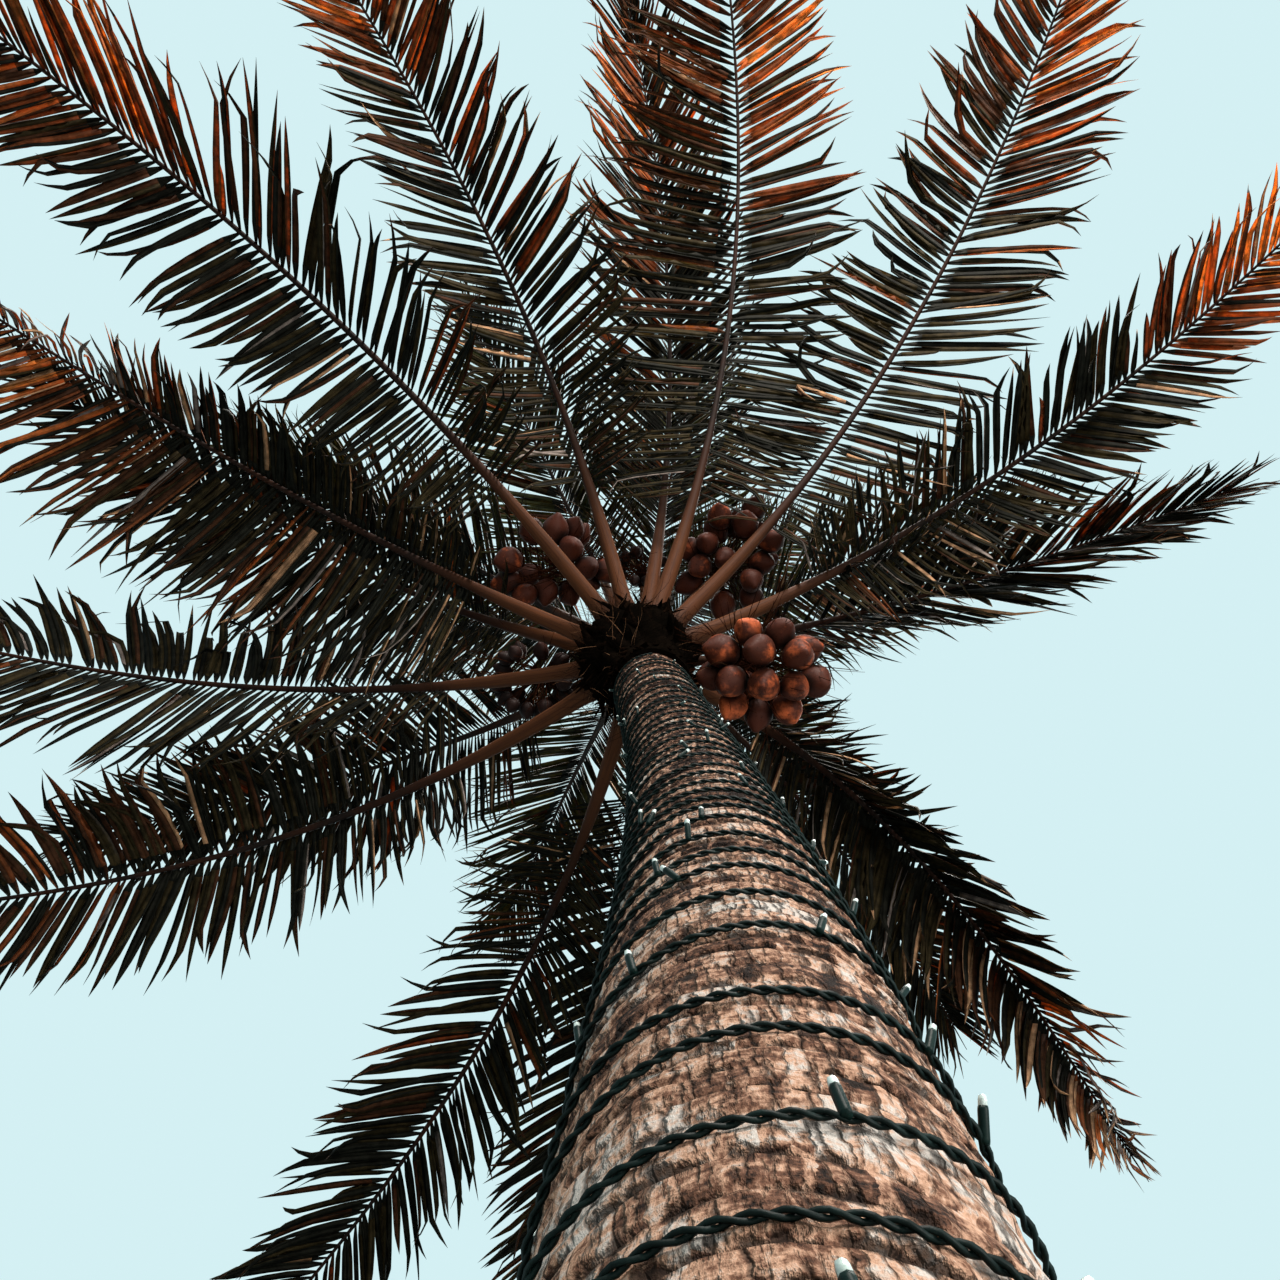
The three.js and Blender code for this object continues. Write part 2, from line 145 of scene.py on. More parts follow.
def smooth(value: np.ndarray, low: float, high: float) -> np.ndarray:
    """Return 0 below low, 1 above high and a soft step between them."""
    share = np.clip((value - low) / (high - low), 0, 1)
    return share * share * (3 - 2 * share)


def on_crown(azimuth: float, radius: float, height: float) -> np.ndarray:
    """Find a place round the top of the trunk.

    Args:
        azimuth: degrees from +X.
        radius: distance from the crown's axis.
        height: above the trunk's top.

    Returns:
        The point.
    """
    angle = math.radians(azimuth)
    return CROWN + np.array((radius * math.cos(angle), radius * math.sin(angle), height))


def trunk_middle(height: np.ndarray) -> np.ndarray:
    """Return the points of the trunk's curved axis at these heights."""
    share = np.clip(np.asarray(height, float) / TRUNK_HEIGHT, 0, 1)[..., None]
    rest = 1 - share
    first, second, third, last = TRUNK_LINE
    return (rest ** 3 * first + 3 * rest ** 2 * share * second
            + 3 * rest * share ** 2 * third + share ** 3 * last)


def trunk_radius(height: np.ndarray) -> np.ndarray:
    """Return the trunk's radius at these heights, with the flare at its foot."""
    height = np.asarray(height, float)
    share = np.clip(height / TRUNK_HEIGHT, 0, 1)
    straight = TRUNK_LOW_RADIUS + (TRUNK_TOP_RADIUS - TRUNK_LOW_RADIUS) * share
    return straight + FLARE * np.exp(-np.maximum(height, 0) / FLARE_HEIGHT)


def on_heart(azimuth: np.ndarray, radius: np.ndarray, height: np.ndarray) -> np.ndarray:
    """Find places round the heart, whose collar follows the trunk's lean.

    Args:
        azimuth: radians from +X.
        radius: distance from the heart's axis.
        height: above the end of the trunk's line.

    Returns:
        The points.
    """
    level = CROWN[2] + np.asarray(height, float)
    axis = trunk_middle(np.minimum(level, TRUNK_HEIGHT))
    spoke = np.stack([radius * np.cos(azimuth), radius * np.sin(azimuth),
                      level - axis[..., 2]], -1)
    return axis + spoke


def angles_of(points: np.ndarray) -> np.ndarray:
    """Return how far round the Z axis from +X the points lie, in radians."""
    return np.arctan2(points[:, 1], points[:, 0])


def level_ray(angle: np.ndarray) -> np.ndarray:
    """Return the level directions at these angles, in radians from +X."""
    return np.stack([np.cos(angle), np.sin(angle), np.zeros_like(angle)], -1)


def bow(start: np.ndarray, bend: np.ndarray, end: np.ndarray, share: np.ndarray) -> np.ndarray:
    """Return points of the curve that runs from start to end by way of bend."""
    return (1 - share) ** 2 * start + 2 * (1 - share) * share * bend + share ** 2 * end


def unevenness(angle: np.ndarray, height: np.ndarray, across: float, rise: float,
               decay: float, octaves: int) -> np.ndarray:
    """Work out a fractal relief round an upright axis.

    Args:
        angle: radians from +X.
        height: above the axis's foot.
        across: how fine the relief is round the axis.
        rise: how fine it is upwards.
        decay: how fast its octaves fade.
        octaves: how many there are.

    Returns:
        The relief, about -1 to 1.
    """
    return np.array([
        fractal(Vector((across * math.cos(a), across * math.sin(a), rise * h)), decay, 2.1, octaves)
        for a, h in zip(angle, height)])


class Value:
    """A socket of a shader. Arithmetic on it adds the Math nodes that work it out."""

    def __init__(self, shader: "Shader", socket: bpy.types.NodeSocket) -> None:
        """Keep the shader and the socket."""
        self.shader = shader
        self.socket = socket

    def join(self, operation: str, first: "Value | float", second: "Value | float") -> "Value":
        """Add one Math node.

        Args:
            operation: the Math node's operation.
            first: its first value.
            second: its second value.

        Returns:
            The result.
        """
        return self.shader.node("ShaderNodeMath", {"operation": operation}, {0: first, 1: second})

    def __add__(self, other: "Value | float") -> "Value":
        """Return self + other."""
        return self.join("ADD", self, other)

    def __sub__(self, other: "Value | float") -> "Value":
        """Return self - other."""
        return self.join("SUBTRACT", self, other)

    def __rsub__(self, other: "Value | float") -> "Value":
        """Return other - self."""
        return self.join("SUBTRACT", other, self)

    def __mul__(self, other: "Value | float") -> "Value":
        """Return self * other."""
        return self.join("MULTIPLY", self, other)

    def most(self, other: "Value | float") -> "Value":
        """Return the greater of the two values."""
        return self.join("MAXIMUM", self, other)


class Shader:
    """A material under construction."""

    def __init__(self, name: str) -> None:
        """Start an empty material of this name."""
        self.material = bpy.data.materials.new(name)
        self.material.use_nodes = True
        self.material.node_tree.nodes.clear()

    def node(
        self,
        kind: str,
        settings: Mapping[str, object] | None = None,
        inputs: Mapping[str | int, object] | None = None,
        output: str | int = 0,
    ) -> Value:
        """Add any node.

        Args:
            kind: the node's type.
            settings: its properties; "stops" fills a ramp with (position, colour) pairs.
            inputs: values or links for its sockets, by name or number.
            output: the socket that is handed back, by name or number.

        Returns:
            The output.
        """
        node = self.material.node_tree.nodes.new(kind)
        for key, value in (settings or {}).items():
            if key == "stops":
                self._fill_ramp(node.color_ramp, value)
            else:
                setattr(node, key, value)
        for key, value in (inputs or {}).items():
            if isinstance(value, Value):
                self.material.node_tree.links.new(value.socket, node.inputs[key])
            else:
                node.inputs[key].default_value = value
        return Value(self, node.outputs[output])

    @staticmethod
    def _fill_ramp(ramp: bpy.types.ColorRamp, stops: Sequence[tuple[float, Colour]]) -> None:
        """Set a ramp's stops."""
        while len(ramp.elements) < len(stops):
            ramp.elements.new(1.0)
        for element, (position, colour) in zip(ramp.elements, stops):
            element.position = position
            element.color = (*colour, 1.0)

    def place(self, scale: Triple = (1, 1, 1)) -> Value:
        """Return the place on the object, stretched by scale along each axis."""
        spot = self.node("ShaderNodeTexCoord", output="Object")
        return self.node("ShaderNodeMapping", {}, {"Vector": spot, "Scale": scale})

    def attribute(self, name: str) -> Value:
        """Return a number that the mesh keeps at each of its points."""
        return self.node("ShaderNodeAttribute", {"attribute_name": name}, output="Fac")

    def noise(self, spot: Value, scale: float, detail: float = 4, rough: float = 0.55) -> Value:
        """Add a Noise node.

        Args:
            spot: the place.
            scale: features per metre of it.
            detail: octaves.
            rough: how strong the finer octaves are.

        Returns:
            Its factor.
        """
        return self.node("ShaderNodeTexNoise", {}, {
            "Vector": spot, "Scale": scale, "Detail": detail, "Roughness": rough})

    def step(self, value: Value, low: float, high: float) -> Value:
        """Return 0 below low, 1 above high and a soft step between them."""
        return self.node("ShaderNodeMapRange", {"interpolation_type": "SMOOTHSTEP"}, {
            "Value": value, "From Min": low, "From Max": high})

    def ramp(self, value: Value, *stops: tuple[float, Colour]) -> Value:
        """Return the colour that a ramp gives for the value."""
        return self.node("ShaderNodeValToRGB", {"stops": stops}, {0: value})

    def mix(self, share: Value, first: "Value | Colour", second: "Value | Colour") -> Value:
        """Mix two colours, with this share of the second."""
        first, second = [c if isinstance(c, Value) else (*c, 1.0) for c in (first, second)]
        return self.node("ShaderNodeMix", {"data_type": "RGBA"}, {0: share, 6: first, 7: second}, 2)

    def bump(self, height: Value, depth: float, strength: float) -> Value:
        """Return the normal of a surface with this relief, depth metres deep."""
        return self.node("ShaderNodeBump", {}, {
            "Strength": strength, "Distance": depth, "Height": height})

    def surface(self, colour: Value, **sockets: object) -> Value:
        """Add the main shader.

        Args:
            colour: the base colour.
            sockets: other sockets, with _ for each space in their names.

        Returns:
            The shader.
        """
        inputs = {key.replace("_", " "): value for key, value in sockets.items()}
        return self.node("ShaderNodeBsdfPrincipled", {}, {**inputs, "Base Color": colour})

    def done(self, shader: Value) -> bpy.types.Material:
        """Link the shader to an output and return the material."""
        node = self.material.node_tree.nodes.new("ShaderNodeOutputMaterial")
        self.material.node_tree.links.new(shader.socket, node.inputs["Surface"])
        return self.material


class Modeller:
    """Shapes meshes with Blender's own operators. An edge that rises less than LEVEL is level."""

    LEVEL = 1e-7

    @staticmethod
    def clear() -> None:
        """Leave edit mode and deselect everything."""
        if bpy.context.object and bpy.context.object.mode != "OBJECT":
            bpy.ops.object.mode_set(mode="OBJECT")
        bpy.ops.object.select_all(action="DESELECT")

    @staticmethod
    def start(name: str) -> Piece:
        """Name the primitive that was just added, and its mesh."""
        piece = bpy.context.active_object
        piece.name = piece.data.name = name
        return piece

    @staticmethod
    def link(name: str, data: bpy.types.ID) -> Piece:
        """Put new data into the scene as an object of this name."""
        piece = bpy.data.objects.new(name, data)
        bpy.context.collection.objects.link(piece)
        return piece

    @staticmethod
    def pick_edges(piece: Piece, wanted: Callable[[bmesh.types.BMEdge], bool]) -> None:
        """Select just the wanted edges of a piece in edit mode."""
        bpy.ops.mesh.select_mode(type="EDGE")
        work = bmesh.from_edit_mesh(piece.data)
        for edge in work.edges:
            edge.select_set(False)
        for edge in work.edges:
            if wanted(edge):
                edge.select_set(True)
        bmesh.update_edit_mesh(piece.data)

    @classmethod
    def tube(cls, name: str, sides: int, cuts: Iterable[int]) -> Piece:
        """Make a round bar of radius 1 and length 1, cut across along its length.

        Args:
            name: the piece's name.
            sides: round the bar.
            cuts: how often each stretch is cut, one number for each pass.

        Returns:
            The bar, from z -0.5 to 0.5.
        """
        cls.clear()
        bpy.ops.mesh.primitive_cylinder_add(vertices=sides, radius=1.0, depth=1.0)
        bar = cls.start(name)
        bpy.ops.object.mode_set(mode="EDIT")
        for cut in cuts:
            cls.pick_edges(bar, lambda e: abs(e.verts[0].co.z - e.verts[1].co.z) > cls.LEVEL)
            bpy.ops.mesh.subdivide(number_cuts=cut)
        bpy.ops.object.mode_set(mode="OBJECT")
        return bar

    @staticmethod
    def points(piece: Piece) -> np.ndarray:
        """Return the piece's vertices as rows."""
        flat = np.empty(3 * len(piece.data.vertices))
        piece.data.vertices.foreach_get("co", flat)
        return flat.reshape(-1, 3)

    @staticmethod
    def move(piece: Piece, points: np.ndarray) -> None:
        """Put the piece's vertices at these points."""
        piece.data.vertices.foreach_set("co", np.asarray(points, np.float32).ravel())
        piece.data.update()

    @staticmethod
    def mark(piece: Piece, name: str, values: np.ndarray) -> None:
        """Keep a number at each of the piece's points."""
        layer = piece.data.attributes.new(name, "FLOAT", "POINT")
        layer.data.foreach_set("value", np.asarray(values, np.float32).ravel())

    @classmethod
    def soften(cls, piece: Piece, degrees: float) -> Piece:
        """Shade a piece smooth, with edges sharper than this angle kept."""
        cls.clear()
        piece.select_set(True)
        bpy.context.view_layer.objects.active = piece
        bpy.ops.object.shade_smooth_by_angle(angle=math.radians(degrees))
        return piece

    @classmethod
    def bend_tube(cls, bar: Piece, line: np.ndarray, radii: np.ndarray) -> None:
        """Lay a tube along a line.

        Args:
            bar: a tube whose rings are as many as the line's points.
            line: the points that it follows.
            radii: its radius at each.
        """
        local = cls.points(bar)
        ring = np.rint((local[:, 2] + 0.5) * (len(line) - 1)).astype(int)
        ahead = unit(np.gradient(line, axis=0))
        aside = np.where(np.abs(ahead[:, 2:]) > 0.95, (1.0, 0, 0), UP)
        across = unit(np.cross(aside, ahead))
        above = np.cross(ahead, across)
        spoke = local[:, :1] * across[ring] + local[:, 1:2] * above[ring]
        cls.move(bar, line[ring] + spoke * radii[ring, None])


class Strips:
    """Thin closed strips collected as arrays and joined into one mesh."""

    def __init__(self) -> None:
        """Start with nothing."""
        self.points: list[np.ndarray] = []
        self.faces: list[np.ndarray] = []
        self.count = 0

    @property
    def triangles(self) -> int:
        """How many triangles have been collected."""
        return sum(len(faces) * (faces.shape[1] - 2) for faces in self.faces)

    def add(self, sections: np.ndarray) -> None:
        """Collect strips of one build.

        Args:
            sections: [strip, station, corner, xyz], the corners counter-clockwise about the
                direction that the strip runs in.
        """
        strips, stations, corners, _ = sections.shape
        if not strips:
            return
        corner = np.arange(corners)
        strip = np.arange(strips)[:, None]
        base = (self.count + strip[..., None] * stations * corners
                + np.arange(stations - 1)[None, :, None] * corners)
        here = base + corner
        after = base + (corner + 1) % corners
        walls = np.stack([here, after, after + corners, here + corners], -1).reshape(-1, 4)
        foot = self.count + strip * stations * corners + corner[::-1]
        head = self.count + (strip * stations + stations - 1) * corners + corner
        self.faces += [walls, foot, head]
        self.points.append(sections.reshape(-1, 3))
        self.count += strips * stations * corners

    def piece(self, name: str) -> Piece:
        """Join what was collected.

        Args:
            name: the piece's name.

        Returns:
            The new piece.
        """
        mesh = bpy.data.meshes.new(name)
        mesh.vertices.add(self.count)
        mesh.vertices.foreach_set("co", np.concatenate(self.points).astype(np.float32).ravel())
        loops = np.concatenate([faces.ravel() for faces in self.faces]).astype(np.int32)
        sizes = np.concatenate([np.full(len(faces), faces.shape[1]) for faces in self.faces])
        mesh.loops.add(len(loops))
        mesh.loops.foreach_set("vertex_index", loops)
        mesh.polygons.add(len(sizes))
        starts = np.concatenate([[0], np.cumsum(sizes)[:-1]]).astype(np.int32)
        mesh.polygons.foreach_set("loop_start", starts)
        mesh.update(calc_edges=True)
        return Modeller.link(name, mesh)


def rods(lines: np.ndarray, radii: np.ndarray, sides: int) -> np.ndarray:
    """Work out the sections of thin round rods.

    Args:
        lines: [rod, station, xyz], the lines that they follow.
        radii: [rod, station], their radii.
        sides: of each rod.

    Returns:
        Sections for Strips.add.
    """
    ahead = unit(np.gradient(lines, axis=1))
    mean = unit(ahead.mean(1, keepdims=True))
    aside = np.where(np.abs(mean[..., 2:]) > 0.8, (1.0, 0.0, 0.0), UP)
    across = unit(np.cross(aside, ahead))
    above = np.cross(ahead, across)
    turn = math.tau * np.arange(sides) / sides
    spokes = (np.cos(turn)[:, None] * across[:, :, None, :]
              + np.sin(turn)[:, None] * above[:, :, None, :])
    return lines[:, :, None, :] + spokes * radii[:, :, None, None]


class Slot(Enum):
    """The record's material slots."""

    BARK = "bark"
    HEART = "heart_fibre"
    FROND = "frond"
    NUT = "nut"
    LIGHTS = "light_string"


def hand_over(piece: Piece, material: bpy.types.Material,
              nodes: Sequence[str] = ()) -> None:
    """Finish a piece: give it its material, its body and the nodes it stands for.

    Args:
        piece: the piece.
        material: its material.
        nodes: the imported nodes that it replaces.
    """
    piece.data.materials.clear()
    piece.data.materials.append(material)
    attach(piece, BODY)
    if nodes:
        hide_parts(*nodes)
    faces = sum(len(polygon.vertices) - 2 for polygon in piece.data.polygons)
    LOG.info("%s: %d triangles", piece.name, faces)


@dataclass(frozen=True)
class BarkFinish:
    """Weathered palm bark: ring scars, and upright cracks that part each ring into blocks.

    blocks tells how many blocks there are to a metre each way, and ragged how far their edges
    stray. The bark darkens by fade from the foot to the crown: painted shade under the crown,
    with some of the upper bark's browner colour. depth is that of its relief.
    """

    pale: Colour = (0.310, 0.284, 0.260)
    tan: Colour = (0.300, 0.180, 0.122)
    brown: Colour = (0.090, 0.043, 0.027)
    dark: Colour = (0.008, 0.005, 0.004)
    blocks: Triple = (78.0, 78.0, 6.0)
    ragged: Triple = (0.70, 0.70, 0.22)
    middle_tone: float = 1.90
    fade: float = 0.49
    depth: float = 0.0065

    def cells(self, s: Shader, shade: Value) -> tuple[Value, Value]:
        """Part the bark into upright blocks.

        Args:
            s: the material.
            shade: a number for each ring, which moves its blocks on.

        Returns:
            The distance from the blocks' seams, and a number for each block.
        """
        stray = s.node("ShaderNodeTexNoise", {}, {
            "Vector": s.place(), "Scale": 60.0, "Detail": 3.0}, "Color")
        moved = s.node("ShaderNodeCombineXYZ", {}, {
            "X": shade * 9.0, "Y": shade * 5.0, "Z": shade * 31.0})
        spot = s.node("ShaderNodeVectorMath", {"operation": "ADD"}, {
            0: s.place(self.blocks), 1: moved})
        spot = s.node("ShaderNodeVectorMath", {"operation": "MULTIPLY_ADD"}, {
            0: stray, 1: self.ragged, 2: spot})
        cell = {"Vector": spot, "Scale": 1.0}
        seam = s.node("ShaderNodeTexVoronoi", {"feature": "DISTANCE_TO_EDGE"}, cell)
        block = s.node("ShaderNodeTexVoronoi", {"feature": "F1"}, cell, "Color")
        return seam, s.node("ShaderNodeSeparateColor", {}, {0: block})

    def material(self) -> bpy.types.Material:
        """Build the material."""
        s = Shader("bark")
        scar = s.attribute("scar")
        shade = s.attribute("shade")
        level = s.attribute("level")
        seam, block = self.cells(s, shade)
        patch = s.noise(s.place((4.0, 4.0, 9.0)), 1.0, 5, 0.65)
        teeth = s.noise(s.place((70.0, 70.0, 14.0)), 1.0, 4, 0.65)
        flake = s.noise(s.place((52.0, 52.0, 80.0)), 1.0, 4, 0.65)
        grain = s.noise(s.place((240.0, 240.0, 90.0)), 1.0, 3, 0.7)
        tone = patch * 1.7 + block * 0.30 + shade * 0.30 + grain * 0.60 + flake * 1.00
        # Painted shade: level and fade darken the bark towards the crown, as in the crown's shade,
        # with some of the upper bark's browner colour.
        tone = tone + (tone - self.middle_tone) * level * 0.45 - level * self.fade - 1.260
        base = s.ramp(tone, (0.10, self.dark), (0.34, self.brown), (0.58, self.tan),
                      (0.86, self.pale))
        crack = (1 - s.step(seam, 0.01, 0.15)) * s.step(teeth + patch * 0.5, 0.62, 0.84)
        torn = s.step(scar + (teeth - 0.5) * 2.4 + (flake - 0.5) * 1.2, 0.28, 0.74)
        base = s.mix((crack * 0.74).most(torn * 0.90), base, self.dark)
        relief = flake * 0.6 + grain * 0.35 - crack * 0.8 - torn * 0.7
        return s.done(s.surface(base, Roughness=0.9, Specular_IOR_Level=0.06,
                                Normal=s.bump(relief, self.depth, 1.0)))


@dataclass(frozen=True)
class FibreFinish:
    """Matted sheath fibre: crossing strands, nearly black in their depths as painted shade, since
    the deep colour follows the low parts of the strands' relief.
    """

    name: str
    deep: Colour
    light: Colour

    def material(self) -> bpy.types.Material:
        """Build the material."""
        s = Shader(self.name)
        upright = s.noise(s.place((150.0, 150.0, 9.0)), 1.0, 4, 0.6)
        crossing = s.noise(s.place((30.0, 30.0, 170.0)), 1.0, 3, 0.6)
        blotch = s.noise(s.place(), 7.0, 4)
        strand = upright.most(crossing)
        # Painted shade: the deep colour falls where the strands' relief is low, as between crossing
        # strands.
        base = s.mix(s.step(strand * 0.7 + blotch * 0.5, 0.52, 0.86), self.deep, self.light)
        return s.done(s.surface(base, Roughness=0.95, Specular_IOR_Level=0.0,
                                Normal=s.bump(strand, 0.005, 0.9)))


@dataclass(frozen=True)
class StalkFinish:
    """A frond's rib: brown under the petiole, pale on its upper side and edges as a painted
    highlight, dark along the blade, and darkened at its foot by painted shade from the heart.
    """

    pale: Colour = (0.150, 0.060, 0.025)
    tan: Colour = (0.056, 0.019, 0.007)
    brown: Colour = (0.020, 0.0075, 0.004)
    dark: Colour = (0.009, 0.006, 0.005)

    def material(self) -> bpy.types.Material:
        """Build the material."""
        s = Shader("frond_stalk")
        share = s.attribute("along")
        round_it = s.attribute("around")
        lengthways = s.node("ShaderNodeCombineXYZ", {}, {
            "X": share * 9.0, "Y": round_it * 7.0, "Z": s.noise(s.place(), 0.7, 1) * 6.0})
        streak = s.noise(lengthways, 1.6, 5, 0.7)
        blotch = s.noise(s.place(), 5.0, 4)
        fine = s.noise(s.place(), 120.0, 3, 0.6)
        age = s.step(share + blotch * 0.20 - 0.10, 0.08, 0.27)
        base = s.mix(s.step(streak, 0.42, 0.66) * 0.70, self.tan, self.brown)
        # Painted highlight: the rib's upper side and edges are made pale, as where light catches
        # them.
        painted_highlight = s.step(round_it + streak * 0.24, 0.50, 0.70)
        base = s.mix(painted_highlight * 0.90, base, self.pale)
        old = s.mix(s.step(blotch + streak * 0.4, 0.55, 0.85), self.dark, self.brown)
        base = s.mix(age, base, old)
        base = s.mix(s.step(fine, 0.60, 0.74) * 0.5, base, self.dark)
        # Painted shade: the rib's first few centimetres, in the heart's shade, are darkened.
        base = s.mix((1 - s.step(share + blotch * 0.03, 0.015, 0.07)) * 0.8, base, self.dark)
        return s.done(s.surface(base, Roughness=0.6, Specular_IOR_Level=0.05,
                                Normal=s.bump(streak + fine * 0.3, 0.003, 0.6)))


class Tint(Enum):
    """The plain colours that the leaflets are dealt.

    Each gives the material's name, the surface's colour, the colour of the light that comes
    through and how much of it does.
    """

    DEEP = ("leaf_deep", (0.0088, 0.0090, 0.0066), (0.022, 0.018, 0.008), 0.15)
    GREEN = ("leaf_green", (0.020, 0.024, 0.009), (0.170, 0.130, 0.026), 0.35)
    OLIVE = ("leaf_olive", (0.024, 0.018, 0.008), (0.090, 0.056, 0.014), 0.25)
    BROWN = ("leaf_brown", (0.042, 0.018, 0.009), (0.150, 0.052, 0.015), 0.32)
    # EMBER, RUST and AMBER are mostly dealt as painted sunlight coming through the leaflets; RUST
    # also colours some dead tips.
    EMBER = ("leaf_ember", (0.125, 0.040, 0.015), (0.380, 0.112, 0.026), 0.42)
    RUST = ("leaf_rust", (0.280, 0.086, 0.024), (0.660, 0.200, 0.040), 0.50)
    AMBER = ("leaf_amber", (0.420, 0.160, 0.044), (0.880, 0.350, 0.075), 0.54)
    STRAW = ("leaf_straw", (0.330, 0.190, 0.105), (0.500, 0.290, 0.130), 0.30)
    GREY = ("leaf_grey", (0.150, 0.122, 0.108), (0.200, 0.155, 0.110), 0.20)


@dataclass(frozen=True)
class LeafFinish:
    """A leaflet's thin blade: mottled, finely rough, and bright where light comes through."""

    tint: Tint

    def material(self) -> bpy.types.Material:
        """Build the material."""
        name, colour, through, share = self.tint.value
        s = Shader(name)
        mottle = s.noise(s.place(), 17.0, 4, 0.6)
        fine = s.noise(s.place(), 210.0, 2, 0.6)
        amount = s.step(mottle, 0.36, 0.66)
        darker = tuple(part * 0.50 for part in colour)
        lighter = tuple(min(part * 1.35, 0.9) for part in colour)
        base = s.mix(amount, darker, lighter)
        body = s.surface(base, Roughness=0.62, Specular_IOR_Level=0.04,
                         Normal=s.bump(fine, 0.001, 0.5))
        glow = s.node("ShaderNodeBsdfTranslucent", {}, {"Color": (*through, 1.0)})
        seen = amount * (0.7 * share) + 0.4 * share
        return s.done(s.node("ShaderNodeMixShader", {}, {0: seen, 1: body, 2: glow}))


@dataclass(frozen=True)
class NutFinish:
    """A nut's husk: orange-brown, scuffed and mottled, with a soft sheen."""

    name: str
    light: Colour
    warm: Colour
    dark: Colour

    def material(self) -> bpy.types.Material:
        """Build the material."""
        s = Shader(self.name)
        tone = s.attribute("tone")
        tip = s.attribute("tip")
        cloud = s.noise(s.place(), 13.0, 5, 0.6)
        scuff = s.noise(s.place((90.0, 90.0, 30.0)), 1.0, 4, 0.7)
        # tone carries each nut's own random tone and, on higher bunches, painted shade.
        base = s.mix(s.step(cloud + tone * 0.26, 0.46, 0.80), self.warm, self.light)
        base = s.mix(s.step(scuff, 0.56, 0.70) * 0.75, base, self.dark)
        base = s.mix(s.step(tip + cloud * 0.5, 0.85, 1.35) * 0.7, base, self.dark)
        # Painted shade: nuts darken where they come close to their neighbours.
        crevice_shade = s.step(s.attribute("crevice_shade") + cloud * 0.4, 0.42, 0.95)
        base = s.mix(crevice_shade * 0.92, base, self.dark)
        return s.done(s.surface(base, Roughness=s.step(scuff, 0.3, 0.8) * 0.25 + 0.50,
                                Specular_IOR_Level=0.10, Normal=s.bump(scuff, 0.0015, 0.6)))


@dataclass(frozen=True)
class PlasticFinish:
    """Moulded plastic or cable sleeve, slightly dusty."""

    name: str
    colour: Colour
    dust: Colour
    roughness: float
    coat: float = 0.0

    def material(self) -> bpy.types.Material:
        """Build the material."""
        s = Shader(self.name)
        dust = s.noise(s.place(), 55.0, 4, 0.65)
        fine = s.noise(s.place(), 600.0, 2)
        base = s.mix(s.step(dust, 0.45, 0.75), self.colour, self.dust)
        return s.done(s.surface(base, Roughness=self.roughness, Specular_IOR_Level=0.07,
                                Coat_Weight=self.coat,
                                Normal=s.bump(fine, 0.0004, 0.4)))


# Painted shade: the heart's fibre and its torn sheaths are made nearly black, darker than the fibre
# is, to stand for the deep shade under the crown.
SHADED_FIBRE = FibreFinish("fibre_shaded", (0.0010, 0.0008, 0.0006), (0.004, 0.0026, 0.0018))
SHADED_TORN_FIBRE = FibreFinish("fibre_torn_shaded", (0.0012, 0.0009, 0.0007), (0.007, 0.0035, 0.002))
STRAW_FIBRE = FibreFinish("fibre_straw", (0.060, 0.028, 0.015), (0.240, 0.130, 0.072))
CALYX = FibreFinish("calyx", (0.008, 0.003, 0.002), (0.055, 0.018, 0.008))
RIPE_HUSK = NutFinish("nut_ripe", (0.440, 0.090, 0.027), (0.038, 0.0080, 0.0032),
                      (0.005, 0.0018, 0.0012))
YOUNG_HUSK = NutFinish("nut_young", (0.040, 0.009, 0.004), (0.010, 0.003, 0.002),
                       (0.004, 0.002, 0.002))
WIRE = PlasticFinish("wire_green", (0.0012, 0.005, 0.0045), (0.005, 0.014, 0.013), 0.5)
SOCKET = PlasticFinish("socket_green", (0.001, 0.008, 0.007), (0.004, 0.015, 0.013), 0.45)
LAMP_TIP = PlasticFinish("lamp_clear", (0.42, 0.50, 0.48), (0.24, 0.30, 0.28), 0.16, 0.6)


